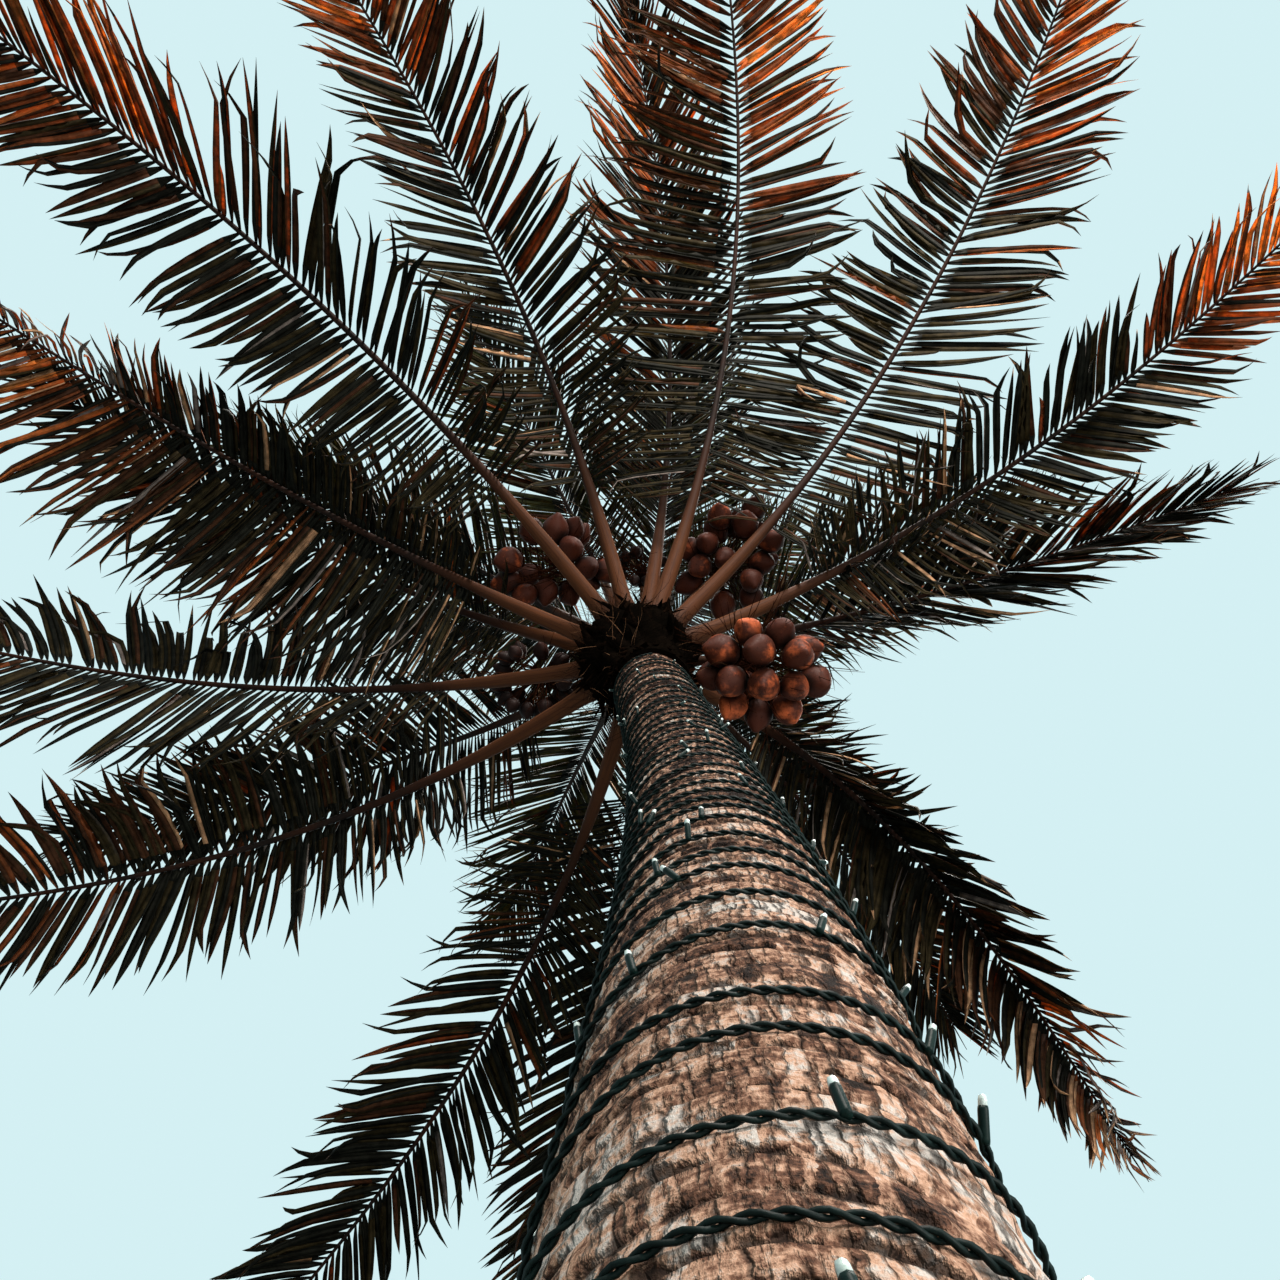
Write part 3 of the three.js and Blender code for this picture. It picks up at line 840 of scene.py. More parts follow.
@dataclass
class Trunk:
    """The trunk's bark: ring scars about 5 cm apart, bulging and cracked between them.

    profile describes each ring from its foot up by points: the share of its height, how far it
    stands out and how strongly it is scarred. passes cut the tube into as many rows as the
    rings have points. flutes is how many folds the flared foot has. From shade_and_brown_from
    up, and over shade_and_brown_rise, the bark turns darker: painted shade under the crown,
    with some of the upper bark's browner colour.
    """

    sides: int = 96
    internodes: int = 138
    passes: tuple[int, int] = (22, 29)
    low_gap: float = 0.062
    top_gap: float = 0.038
    flutes: int = 9
    flute_depth: float = 0.010
    flute_height: float = 0.22
    roughness: float = 0.0035
    fine_roughness: float = 0.0014
    shade_and_brown_from: float = 1.2
    shade_and_brown_rise: float = 5.4
    profile: tuple[Triple, ...] = (
        (0.00, -0.0046, 1.0), (0.15, 0.0028, 0.30), (0.42, 0.0012, 0.0), (0.72, -0.0006, 0.0),
        (0.94, -0.0022, 0.55))

    def rows(self) -> np.ndarray:
        """Return the height, relief, scar and shade of each row of the tube."""
        draw = np.random.default_rng(Seed.RINGS)
        gaps = np.linspace(self.low_gap, self.top_gap, self.internodes)
        gaps = gaps * draw.uniform(0.72, 1.3, self.internodes)
        rings = np.concatenate([[0.0], np.cumsum(gaps)])
        rings *= BARK_TOP / rings[-1]
        shades = draw.uniform(0, 1, self.internodes + 1)[:-1, None]
        depths = draw.uniform(0.45, 1.25, self.internodes + 1)[:-1, None]
        share, out, mark = np.array(self.profile).T
        inner = np.stack([rings[:-1, None] + share * np.diff(rings)[:, None], out * depths,
                          mark * depths, shades.repeat(len(share), 1)])
        return np.concatenate([inner.reshape(4, -1), [[BARK_TOP], [0.0], [0.4], [0.5]]], 1)

    def build(self) -> Piece:
        """Model the trunk.

        Returns:
            The piece, with its scars, the shade of each ring and its level kept at its points.
        """
        bark = Modeller.tube("trunk_bark", self.sides, self.passes)
        levels, relief, scar, shade = self.rows()
        local = Modeller.points(bark)
        row = np.rint((local[:, 2] + 0.5) * (len(levels) - 1)).astype(int)
        angle = angles_of(local)
        height = levels[row]
        inside = smooth(height, 0.0, 0.06) * (1 - smooth(height, BARK_TOP - 0.04, BARK_TOP))
        slope = 0.011 * np.sin(angle + 2.1 * height) + 0.006 * np.sin(3 * angle + 9.0 * height)
        height = np.clip(height + slope * inside, 0, BARK_TOP)
        rough = unevenness(angle, height, 3.2, 7.0, 0.7, 4)
        patchy = unevenness(angle, height, 9.0, 30.0, 0.8, 2)
        fold = np.sin(self.flutes * angle + 2 * np.sin(2 * angle))
        flutes = self.flute_depth * np.exp(-height / self.flute_height) * fold
        bumps = relief[row] * (0.65 + 0.7 * patchy)
        bumps = bumps + self.roughness * rough + self.fine_roughness * patchy
        radius = trunk_radius(height) + inside * (bumps + flutes)
        Modeller.move(bark, trunk_middle(height) + level_ray(angle) * radius[:, None])
        Modeller.mark(bark, "scar", scar[row] * np.clip(0.7 + patchy, 0, 1.4))
        Modeller.mark(bark, "shade", shade[row])
        # level rises towards the crown and drives the bark's painted crown shade.
        level = np.clip((height - self.shade_and_brown_from) / self.shade_and_brown_rise, 0, 1) ** 0.6
        Modeller.mark(bark, "level", level)
        return Modeller.soften(bark, 60)

    def dress(self, bark: Piece) -> None:
        """Give the bark its finish and its place."""
        hand_over(bark, BarkFinish().material(), ["trunk"])


@dataclass(frozen=True)
class Tear:
    """The ranges that torn pieces of sheath are drawn from.

    low is the foot's height above the end of the trunk's line, lean how far a piece points up,
    and push how far it points outwards.
    """

    low: Pair
    length: Pair
    lean: Pair
    push: Pair


@dataclass
class Heart:
    """The crown's heart: matted leaf bases, torn sheaths round its foot and loose strands.

    hem is for the torn pieces that fray over the bark, one in every hem_share, and mat for
    those that stand off the heart.
    """

    sides: int = 64
    passes: tuple[int, int] = (9, 11)
    sunk: float = 0.02
    ridge: float = 0.028
    inset: float = 0.012
    roughness: float = 0.018
    flaps: int = 300
    flap_thickness: float = 0.0016
    hem: Tear = Tear((HEART_FOOT, HEART_FOOT + 0.16), (0.04, 0.11), (-1.6, -0.9), (0.18, 0.34))
    mat: Tear = Tear((-0.25, 0.50), (0.05, 0.14), (-0.5, 1.5), (0.18, 0.60))
    hem_share: int = 4
    strands: int = 560
    dry_strands: int = 70

    def core(self) -> Piece:
        """Model the matted leaf bases and the collar under them."""
        core = Modeller.tube("heart_core", self.sides, self.passes)
        local = Modeller.points(core)
        angle = angles_of(local)
        foot = HEART_FOOT - self.sunk
        height = foot + (local[:, 2] + 0.5) * (HEART_TOP - foot)
        radius = along(HEART_OUTLINE, height)
        ridge = np.abs(np.sin(5.5 * angle + 5.0 * height + np.sin(3 * angle))) * self.ridge
        rough = unevenness(angle, height, 5.0, 6.0, 0.7, 4)
        body = smooth(radius, 0.04, 0.15) * smooth(height, HEART_FOOT, HEART_FOOT + 0.12)
        radius = radius + (ridge - 2 * self.inset + self.roughness * rough) * body
        Modeller.move(core, on_heart(angle, radius, height))
        return Modeller.soften(core, 70)

    def torn_sheaths(self) -> Piece:
        """Model the torn pieces of sheath that stand off the heart and fray over the bark."""
        draw = np.random.default_rng(Seed.SHEATHS)
        strips = Strips()
        stations = np.array([0, 0.2, 0.45, 0.7, 0.88, 1.0])
        for number in range(self.flaps):
            tear = self.mat if number % self.hem_share else self.hem
            azimuth = draw.uniform(0, math.tau)
            low = draw.uniform(*tear.low)
            root = on_heart(azimuth, along(HEART_OUTLINE, low) - 0.02, low)
            out = level_ray(azimuth)
            around = np.cross(UP, out)
            length = draw.uniform(*tear.length)
            lean = draw.uniform(*tear.lean)
            push = draw.uniform(*tear.push)
            ahead = unit(out * push + around * draw.uniform(-0.5, 0.5) + UP * lean)
            curl = draw.uniform(-0.6, 0.5)
            width = draw.uniform(0.005, 0.021)
            bends = unit(ahead + UP * (curl * stations[:, None] ** 2))
            steps = np.diff(stations, prepend=0.0)[:, None] * bends * length
            middle = root + np.cumsum(steps, 0)
            across = unit(np.cross(out * 0.3 + UP, bends))
            above = np.cross(bends, across) * self.flap_thickness
            frayed = draw.uniform(0.7, 1.2, len(stations))
            half = across * (width * (1 - stations ** 2.2) * frayed + 0.0012)[:, None]
            strips.add(np.stack([middle - half - above, middle + half - above,
                                 middle + half + above, middle - half + above], 1)[None])
        return strips.piece("heart_sheaths")

    def loose_strands(self, name: str, count: int, seed: int) -> Piece:
        """Model loose strands of fibre round the heart's lower half.

        Args:
            name: the piece's name.
            count: how many.
            seed: of their random places.

        Returns:
            The piece.
        """
        draw = np.random.default_rng(seed)
        azimuth = draw.uniform(0, math.tau, count)
        low = draw.uniform(HEART_FOOT + 0.05, 0.6, count)
        root = on_heart(azimuth, along(HEART_OUTLINE, low) - 0.01, low)
        out = level_ray(azimuth)
        around = np.cross(UP, out)
        ahead = unit(out * draw.uniform(0.2, 1.0, (count, 1))
                     + around * draw.normal(0, 0.8, (count, 1))
                     + UP * draw.normal(0.05, 0.45, (count, 1)))
        length = draw.uniform(0.05, 0.24, count)
        stations = np.linspace(0, 1, 7)
        sag = draw.uniform(0.0, 1.4, count)
        wave = around * draw.normal(0, 0.7, (count, 1))
        bends = unit(ahead[:, None] + wave[:, None] * np.sin(3 * stations)[None, :, None]
                     - UP * (sag[:, None] * stations ** 1.5)[..., None])
        steps = bends * (length[:, None] * np.diff(stations, prepend=0.0))[..., None]
        lines = root[:, None] + np.cumsum(steps, 1)
        radii = np.linspace(0.0013, 0.0005, len(stations))[None].repeat(len(lines), 0)
        strips = Strips()
        strips.add(rods(lines, radii, 3))
        return strips.piece(name)

    def build_and_dress(self) -> None:
        """Make the heart's pieces and hand them over."""
        # The heart's core and loose strands take the nearly black fibre of painted shade.
        dark = SHADED_FIBRE.material()
        hand_over(self.core(), dark, ["crown_heart"])
        hand_over(self.torn_sheaths(), SHADED_TORN_FIBRE.material())
        loose = self.loose_strands("heart_strands", self.strands, Seed.STRANDS)
        hand_over(loose, dark)
        dry = self.loose_strands("heart_dry_strands", self.dry_strands, Seed.DRY_STRANDS)
        hand_over(dry, STRAW_FIBRE.material())


@dataclass
class Spear:
    """The youngest frond, still folded: a pleated spike, its foot sunk into the heart."""

    radius: float = 0.034
    pleats: int = 14
    pleat: float = 0.13
    swell: float = 0.12
    sunk: float = 0.12

    def build_and_dress(self) -> None:
        """Model the spike and hand it over."""
        spike = Modeller.tube("spear_folded", 2 * self.pleats, STALK_PASSES)
        local = Modeller.points(spike)
        share = local[:, 2] + 0.5
        angle = angles_of(local)
        foot = CROWN + UP * (HEART_TOP - self.sunk)
        rise = share[:, None] * UP * (SPEAR_LENGTH + self.sunk)
        middle = foot + rise + share[:, None] ** 2 * SPEAR_LEAN
        pleat = 1 + self.pleat * np.cos(self.pleats * angle + 5 * share)
        swell = 1 + self.swell * np.sin(17 * share)
        width = self.radius * (1 - 0.9 * share ** 2) * pleat * swell
        Modeller.move(spike, middle + level_ray(angle) * width[:, None])
        Modeller.soften(spike, 40)
        hand_over(spike, LeafFinish(Tint.GREEN).material(), ["spear"])


@dataclass
class Rib:
    """Points along a frond's rib, each with the rib's direction, its side and its upper face."""

    share: np.ndarray
    middle: np.ndarray
    forward: np.ndarray
    side: np.ndarray
    up: np.ndarray


@dataclass
class Frond:
    """One frond: a rib that bends and turns, and a row of leaflets on each side.

    Angles are in degrees. azimuth and rise are the rib's first direction, and root is its foot's
    height above the end of the trunk's line. Towards its tip it swings round by turn and bends
    down by droop, and its leaflets hang by sag. tilts, leaves, glow and withered each give a
    value for the left and for the right side: how far the leaflets point above the rib's plane,
    their length, how much painted sunlight makes them rust or amber, and where along the blade
    they are dead. glow_from is where along the blade the painted sunlight begins, dry the share
    of leaflets with dry tips, green the share of green ones, and spread scales the angle between
    leaflets and rib.
    """

    azimuth: float
    turn: float
    rise: float
    droop: float
    sag: float
    length: float
    root: float
    glow: Pair = (0.06, 0.06)
    glow_from: float = 0.4
    dry: float = 0.05
    green: float = 0.0
    spread: float = 1.0
    tilts: Pair = (-25, -25)
    leaves: Pair = (1.0, 1.0)
    withered: Pair = (2.0, 2.0)
    nodes: tuple[str, ...] = ()

    def direction(self, share: np.ndarray) -> np.ndarray:
        """Return the rib's direction at these shares of its length."""
        azimuth = np.radians(self.azimuth + self.turn * share)
        pitch = np.radians(self.rise - self.droop * share ** BEND_POWER)
        level = np.cos(pitch)
        return np.stack([level * np.cos(azimuth), level * np.sin(azimuth), np.sin(pitch)], -1)

    def rib(self, share: np.ndarray) -> Rib:
        """Work out the rib at these shares of its length."""
        steps = self.direction((np.arange(RIB_STEPS) + 0.5) / RIB_STEPS) * self.length / RIB_STEPS
        start = on_crown(self.azimuth, FROND_ROOT_RADIUS, self.root)
        line = np.concatenate([start[None], start + np.cumsum(steps, 0)])
        knots = np.linspace(0, 1, RIB_STEPS + 1)
        middle = np.stack([np.interp(share, knots, line[:, k]) for k in range(3)], -1)
        azimuth = np.radians(self.azimuth + self.turn * share)
        forward = self.direction(share)
        middle = middle + forward * np.minimum(share, 0)[:, None] * self.length
        side = np.stack([-np.sin(azimuth), np.cos(azimuth), np.zeros_like(azimuth)], -1)
        return Rib(share, middle, forward, side, np.cross(forward, side))

    def stalk(self, name: str) -> Piece:
        """Model the petiole and rib, hollowed above and clasping at the base.

        Args:
            name: the piece's name.

        Returns:
            The piece.
        """
        bar = Modeller.tube(name, STALK_SIDES, STALK_PASSES)
        local = Modeller.points(bar)
        rings = math.prod(cuts + 1 for cuts in STALK_PASSES)
        ring = np.rint((local[:, 2] + 0.5) * rings).astype(int)
        share = np.linspace(0, 1, rings + 1) ** 1.15 * 1.05 + CLASP_SHARE
        rib = self.rib(np.clip(share, CLASP_SHARE, 1.0))
        rib.middle[-1] += rib.forward[-1] * 0.03 * self.length
        reach = np.clip(share, 0, 1)
        slim = along(RIB_SHRINK, reach)
        clasp = 1 - smooth(share, CLASP_SHARE, 0.045)
        width = along(RIB_WIDTHS, reach) * slim + CLASP_WIDTH * clasp
        depth = along(RIB_DEPTHS, reach) * (slim + 0.16)
        width[-1] = depth[-1] = 0.0015
        across, over = local[:, 0], local[:, 1]
        hollow = np.where(over > 0, 0.55 - 0.35 * (1 - np.abs(across)) * (reach[ring] < 0.3), 1.0)
        points = (rib.middle[ring] + rib.side[ring] * (across * width[ring])[:, None]
                  + rib.up[ring] * (over * depth[ring] * hollow)[:, None])
        Modeller.move(bar, points)
        Modeller.mark(bar, "along", reach[ring])
        Modeller.mark(bar, "around", np.abs(np.arctan2(across, -over)) / math.pi)
        return Modeller.soften(bar, 50)


OUTER_FRONDS = [
    Frond(-20, -30, 30, 52, 0.35, 5.2, 0.140, (0.85, 1.10), 0.66, 0.12,
          tilts=(-39, -31), leaves=(0.84, 0.83)),
    Frond(-42, -35, 33, 58, 0.30, 5.3, 0.230, (0.70, 0.52), 0.62, 0.08,
          tilts=(-30, 42), leaves=(1.0, 1.03)),
    Frond(-68, -35, 38, 58, 0.30, 5.3, 0.300, (0.76, 0.48), 0.50, 0.05,
          tilts=(2, 21), leaves=(0.97, 1.2)),
    Frond(-79, -24, 51, 58, 0.35, 5.2, 0.400, (0.30, 0.42), 0.46, 0.05, spread=0.72,
          leaves=(1.0, 1.1)),
    Frond(-105, -21, 33, 58, 0.30, 5.2, 0.350, (0.64, 0.50), 0.64, 0.10,
          tilts=(-29, -33), leaves=(1.0, 0.9)),
    Frond(-128, -21, 10, 52, 0.25, 5.3, 0.250, (0.70, 0.30), 0.46, 0.05,
          tilts=(-56, -9), leaves=(1.27, 0.83)),
    Frond(-159, 16, 30, 62, 0.35, 5.0, 0.190, (0.66, 0.66), 0.54, 0.16,
          tilts=(-26, -10), leaves=(0.62, 1.27), withered=(0.56, 2.0)),
    Frond(-171, 30, 44, 60, 0.60, 4.5, 0.330, (0.06, 0.06), 0.50, 0.08),
    Frond(168, 36, 22, 56, 0.45, 4.9, 0.185, (0.16, 0.14), 0.60, 0.10,
          tilts=(63, -68), leaves=(0.85, 1.28)),
    Frond(150, 22, 50, 62, 0.70, 4.5, 0.380),
    Frond(145, 46, 14, 56, 0.50, 5.1, 0.075, (0.30, 0.28), 0.42, 0.08,
          tilts=(44, -41), leaves=(0.9, 0.88)),
    Frond(104, 37, 24, 68, 0.60, 4.8, 0.090, (0.03, 0.03), 0.40, 0.06,
          tilts=(-31, -47), leaves=(0.99, 0.88)),
    Frond(92, 14, 40, 72, 0.70, 4.5, 0.280),
    Frond(70, 18, 30, 70, 0.70, 4.3, 0.160),
    Frond(38, 24, 54, 84, 0.80, 3.3, 0.330),
    Frond(26, 43, 28, 100, 1.20, 3.5, 0.130, (0.26, 0.26), 0.50, 0.36,
          tilts=(-35, -70), leaves=(1.0, 1.1), withered=(0.86, 0.66)),
    Frond(-7, -16, 42, 60, 0.90, 3.8, 0.300, (0.20, 0.20), 0.50, 0.24,
          tilts=(-75, -45), leaves=(1.1, 1.0)),
]
INNER_AZIMUTHS = [72, -156, -20, -118, 118, -82, 38, -176, -34]
SPLIT_DROOP = 70


def all_fronds() -> list[Frond]:
    """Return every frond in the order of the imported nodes, each with the nodes it stands for."""
    fronds = list(OUTER_FRONDS)
    for i, azimuth in enumerate(INNER_AZIMUTHS):
        youth = i / (len(INNER_AZIMUTHS) - 1)
        fronds.append(Frond(
            azimuth=azimuth,
            turn=10 * wobble(i, 1),
            rise=60 + 20 * youth,
            droop=60 - 26 * youth,
            sag=0.5 - 0.35 * youth,
            length=4.5 - 1.2 * youth,
            root=0.430 + 0.400 * youth,
            glow=(0.05, 0.05),
            green=0.3 + 0.6 * youth,
            spread=0.75,
        ))
    for number, frond in enumerate(fronds, 1):
        name = f"frond_{number:02d}"
        split = frond.droop >= SPLIT_DROOP
        frond.nodes = (f"{name}_inner", f"{name}_outer") if split else (name,)
    return fronds


class Blockers:
    """The points that leaflets keep clear of: the ribs of other fronds, and the nuts."""

    SEARCH = 0.13
    RIB_POINTS = 140
    RIB_GAP = 0.012

    def __init__(self, fronds: Sequence[Frond], nuts: Iterable[tuple[np.ndarray, float]]) -> None:
        """Gather the points, each with its owner and how far it keeps leaflets off.

        Args:
            fronds: all fronds, whose place in the list is their number.
            nuts: the middle of each nut, and how far from it leaflets stay.
        """
        points, owner, reach = [], [], []
        for number, frond in enumerate(fronds):
            rib = frond.rib(np.linspace(0, 1, self.RIB_POINTS))
            points.extend(rib.middle)
            owner.extend([number] * self.RIB_POINTS)
            reach.extend(along(RIB_WIDTHS, rib.share) + self.RIB_GAP)
        for centre, radius in nuts:
            points.append(centre)
            owner.append(None)
            reach.append(radius)
        self.owner, self.reach = owner, reach
        self.tree = KDTree(len(points))
        for i, place in enumerate(points):
            self.tree.insert(place, i)
        self.tree.balance()

    def touched(self, number: int, points: np.ndarray) -> bool:
        """Tell whether a leaflet of this frond comes too near anything but its own rib."""
        return any(self.owner[near] != number and gap < self.reach[near]
                   for point in points
                   for _, near, gap in self.tree.find_range(point, self.SEARCH))


@dataclass
class Row:
    """The leaflets on one side of a frond: arrays with an entry for each of them.

    left is 1 for the frond's left side and -1 for its right, and hand this side's place in the
    frond's pairs of values. bladed is where along the blade a leaflet stands, group the number
    of the neighbours that it moves with, pull how far they draw it aside in degrees, and dead
    how far it is withered.
    """

    GROUPS = 60

    frond: Frond
    left: int
    hand: int
    draw: np.random.Generator
    rib: Rib
    bladed: np.ndarray
    group: np.ndarray
    pull: np.ndarray
    dead: np.ndarray
    length: np.ndarray

    def scatter(self, own: float, shared: float) -> np.ndarray:
        """Draw how far each leaflet strays on its own and together with its group."""
        alone = self.draw.normal(0, own, len(self.bladed))
        return alone + self.draw.normal(0, shared, self.GROUPS)[self.group]


@dataclass
class Leaflets:
    """The leaflets of all fronds, dealt by colour into joined pieces.

    outline gives the half width at each of the stations along a leaflet, and sizes how wide
    the leaflets are along the blade. fold is how steeply the halves slope from the midrib.
    """

    fronds: list[Frond]
    blockers: Blockers
    per_side: int = 110
    last_share: float = 0.985
    half_width: float = 0.0275
    half_thickness: float = 0.0016
    fold: float = 27
    most: int = 190_000
    stations: tuple[float, ...] = (0, 0.05, 0.12, 0.24, 0.42, 0.60, 0.76, 0.90, 1.0)
    outline: tuple[float, ...] = (0.34, 0.60, 0.92, 1.0, 1.0, 0.93, 0.74, 0.36, 0.02)
    sizes: tuple[Pair, ...] = ((0, 0.40), (0.12, 0.62), (0.30, 1.0), (0.7, 0.90), (1, 0.45))
    limber_share: float = 0.07
    curled_share: float = 0.70
    short_share: float = 0.05
    lost_share: float = 0.02
    # Painted sunlight: how much painted light a leaflet gets picks its warm tint.
    warmths: tuple[tuple[float, Tint], ...] = (
        (0.86, Tint.AMBER), (0.64, Tint.RUST), (0.42, Tint.EMBER), (0.22, Tint.BROWN))
    heaps: dict[Tint, list[Strips]] = field(default_factory=dict)

    def heap(self, tint: Tint) -> Strips:
        """Return the heap of this colour that still has room."""
        heaps = self.heaps.setdefault(tint, [Strips()])
        if heaps[-1].triangles > self.most:
            heaps.append(Strips())
        return heaps[-1]

    def groups(self, draw: np.random.Generator) -> tuple[np.ndarray, np.ndarray]:
        """Bunch neighbouring leaflets.

        Args:
            draw: random numbers.

        Returns:
            How far its group draws each leaflet aside, in degrees, and the group's number.
        """
        pull, number = [], []
        group = 0
        while len(pull) < self.per_side:
            size = int(draw.integers(3, 11))
            strength = draw.uniform(-0.4, 0.8)
            pull.extend((np.arange(size) - (size - 1) / 2) * strength)
            number.extend([group] * size)
            group += 1
        return np.array(pull[:self.per_side]), np.array(number[:self.per_side])

    def row(self, number: int, frond: Frond, left: int) -> Row:
        """Place the leaflets of one side of a frond along its rib.

        Args:
            number: the frond's number.
            frond: the frond.
            left: 1 for its left side, -1 for its right.

        Returns:
            The leaflets.
        """
        draw = np.random.default_rng(Seed.LEAFLETS + 2 * number + (left > 0))
        count = self.per_side
        order = (np.arange(count) + 0.5 + draw.uniform(-0.25, 0.25, count)) / count
        share = BARE_SHARE + (self.last_share - BARE_SHARE) * along(LEAFLET_PLACES, order)
        bladed = (share - BARE_SHARE) / (1 - BARE_SHARE)
        pull, group = self.groups(draw)
        hand = 0 if left > 0 else 1
        dead = smooth(bladed, frond.withered[hand], frond.withered[hand] + 0.05)
        length = along(LEAFLET_LENGTHS, bladed) * draw.uniform(0.90, 1.08, count)
        length = length * frond.leaves[hand] * (1 - 0.25 * dead)
        short = draw.uniform(0, 1, count) < self.short_share
        length = np.where(short, length * draw.uniform(0.4, 0.8, count), length)
        return Row(frond, left, hand, draw, frond.rib(share), bladed, group, pull, dead, length)

    def lines(self, row: Row) -> tuple[np.ndarray, np.ndarray]:
        """Lay each leaflet's midrib: aimed with its group, then sagging, curled or limp.

        Args:
            row: the leaflets.

        Returns:
            [leaflet, station, xyz], the points of the midribs and their directions there.
        """
        draw, rib, count = row.draw, row.rib, self.per_side
        t = np.array(self.stations)
        spread = along(LEAFLET_ANGLES, row.bladed) * row.frond.spread
        angle = np.radians(spread + row.pull + row.scatter(1.6, 1.6))
        tilt = np.radians(row.frond.tilts[row.hand] + row.scatter(3.0, 4.0))
        out = unit(rib.forward * np.cos(angle)[:, None]
                   + rib.side * (row.left * np.sin(angle) * np.cos(tilt))[:, None]
                   + rib.up * (np.sin(angle) * np.sin(tilt))[:, None])
        beside = 0.85 * along(RIB_WIDTHS, rib.share) * along(RIB_SHRINK, rib.share)
        root = (rib.middle + rib.side * (row.left * beside)[:, None]
                + rib.up * (0.2 * along(RIB_DEPTHS, rib.share))[:, None])

        sag = row.frond.sag * draw.uniform(0.7, 1.35, count)
        swing = draw.normal(0, 0.16, count)
        bends = (out[:, None] - UP * (1.3 * sag[:, None] * t ** 1.4)[..., None]
                 + rib.forward[:, None] * (swing[:, None] * t ** 2)[..., None])
        curled = draw.uniform(-0.8, 0.8, (count, 3))
        curled = curled * (draw.uniform(0, 1, (count, 1)) < self.curled_share)
        limp = (draw.normal(0, 0.9, (count, 3)) - 1.4 * UP) * row.dead[:, None]
        limber = draw.uniform(0, 1, (count, 1)) < self.limber_share
        hanging = (draw.normal(0, 0.7, (count, 3)) - 1.2 * UP) * limber
        for pull, low, high in ((curled, 0.72, 1.0), (limp, 0.25, 0.8), (hanging, 0.40, 1.0)):
            bends = bends + pull[:, None] * smooth(t, low, high)[:, None]
        bends = unit(bends)
        steps = row.length[:, None] * np.diff(t, prepend=0.0)
        return root[:, None] + np.cumsum(bends * steps[..., None], 1), bends

    def halves(self, row: Row, middle: np.ndarray, bends: np.ndarray) -> list[np.ndarray]:
        """Spread the blades, each in two thin halves that slope down from the midrib.

        Args:
            row: the leaflets.
            middle: the points of the midribs.
            bends: their directions there.

        Returns:
            The sections of both halves, for Strips.add.
        """
        draw, rib, count = row.draw, row.rib, self.per_side
        t = np.array(self.stations)
        ahead = rib.forward[:, None] - (rib.forward[:, None] * bends).sum(-1, keepdims=True) * bends
        across = unit(ahead) * -row.left
        above = np.cross(bends, across)
        lean, turn = draw.normal(0, 9, count), draw.normal(0, 26, count)
        twist = np.radians(lean[:, None] + turn[:, None] * t)
        cosine, sine = np.cos(twist)[..., None], np.sin(twist)[..., None]
        across, above = across * cosine + above * sine, above * cosine - across * sine

        size = along(self.sizes, row.bladed) * (1 - 0.35 * row.frond.green)
        size = size * draw.uniform(0.85, 1.15, count) * (1 - 0.45 * row.dead)
        width = self.half_width * size[:, None] * np.array(self.outline)
        thick = above * (self.half_thickness * (1 - 0.75 * t))[:, None]
        fold = np.radians(self.fold + draw.normal(0, 6, count))[:, None] * (1.25 - 0.5 * t)
        drop = above * (width * np.sin(fold))[..., None]
        spread = across * (width * np.cos(fold))[..., None]
        low, high = middle - thick, middle + thick
        return [np.stack([low, middle + spread - drop, high], 2),
                np.stack([high, middle - spread - drop, low], 2)]

    def grow(self, number: int, frond: Frond, left: int) -> None:
        """Make the leaflets on one side of a frond.

        Args:
            number: the frond's number.
            frond: the frond.
            left: 1 for its left side, -1 for its right.
        """
        row = self.row(number, frond, left)
        middle, bends = self.lines(row)
        halves = self.halves(row, middle, bends)
        kept = row.draw.uniform(0, 1, self.per_side) > self.lost_share
        for i in np.nonzero(kept)[0]:
            kept[i] = not self.blockers.touched(number, middle[i, 2:])
        for half, sections in enumerate(halves):
            self.deal(sections, kept, self.colours(row, half))

    def colours(self, row: Row, half: int) -> list[tuple[Tint, Tint, Tint]]:
        """Choose colours for the root, the middle and the tip of each leaflet's half.

        Args:
            row: the leaflets.
            half: 0 or 1.

        Returns:
            Three tints for each leaflet.
        """
        frond, bladed = row.frond, row.bladed
        # Painted sunlight: leaflets towards the blade's outer part, more on a frond's sunlit side,
        # get warmer tints, as if light came through them.
        sunlit = smooth(bladed, frond.glow_from - 0.25, frond.glow_from + 0.15)
        warmth = frond.glow[row.hand] * sunlit + row.scatter(0.17, 0.10)
        picks = row.draw.uniform(0, 1, (len(bladed), 3))
        tips = row.draw.uniform(0, 1, len(bladed))
        chosen = []
        for i, (first, second, third) in enumerate(picks):
            dark = Tint.GREEN if first < frond.green else Tint.DEEP if first < 0.55 else Tint.OLIVE
            # Painted shade: many second halves are made 0.30 less warm, as the shaded half of the
            # folded leaflet.
            warm = warmth[i] - (0.30 if half and third > 0.55 else 0.0)
            middle = next((tint for least, tint in self.warmths if warm > least), dark)
            # Painted shade: each half's root is a step darker than its middle, where other leaflets
            # shade it.
            base = next((tint for least, tint in self.warmths if warm - 0.20 > least), Tint.DEEP)
            tip = middle
            if bladed[i] > frond.withered[row.hand]:
                tip = Tint.GREY if first < 0.5 else Tint.STRAW if first < 0.8 else Tint.RUST
                middle = tip
            elif tips[i] < frond.dry:
                tip = Tint.STRAW if first < 0.6 else Tint.GREY
                middle = tip if second < 0.35 else middle
            elif tips[i] < frond.dry + 0.25:
                tip = Tint.BROWN
            chosen.append((base, middle, tip))
        return chosen

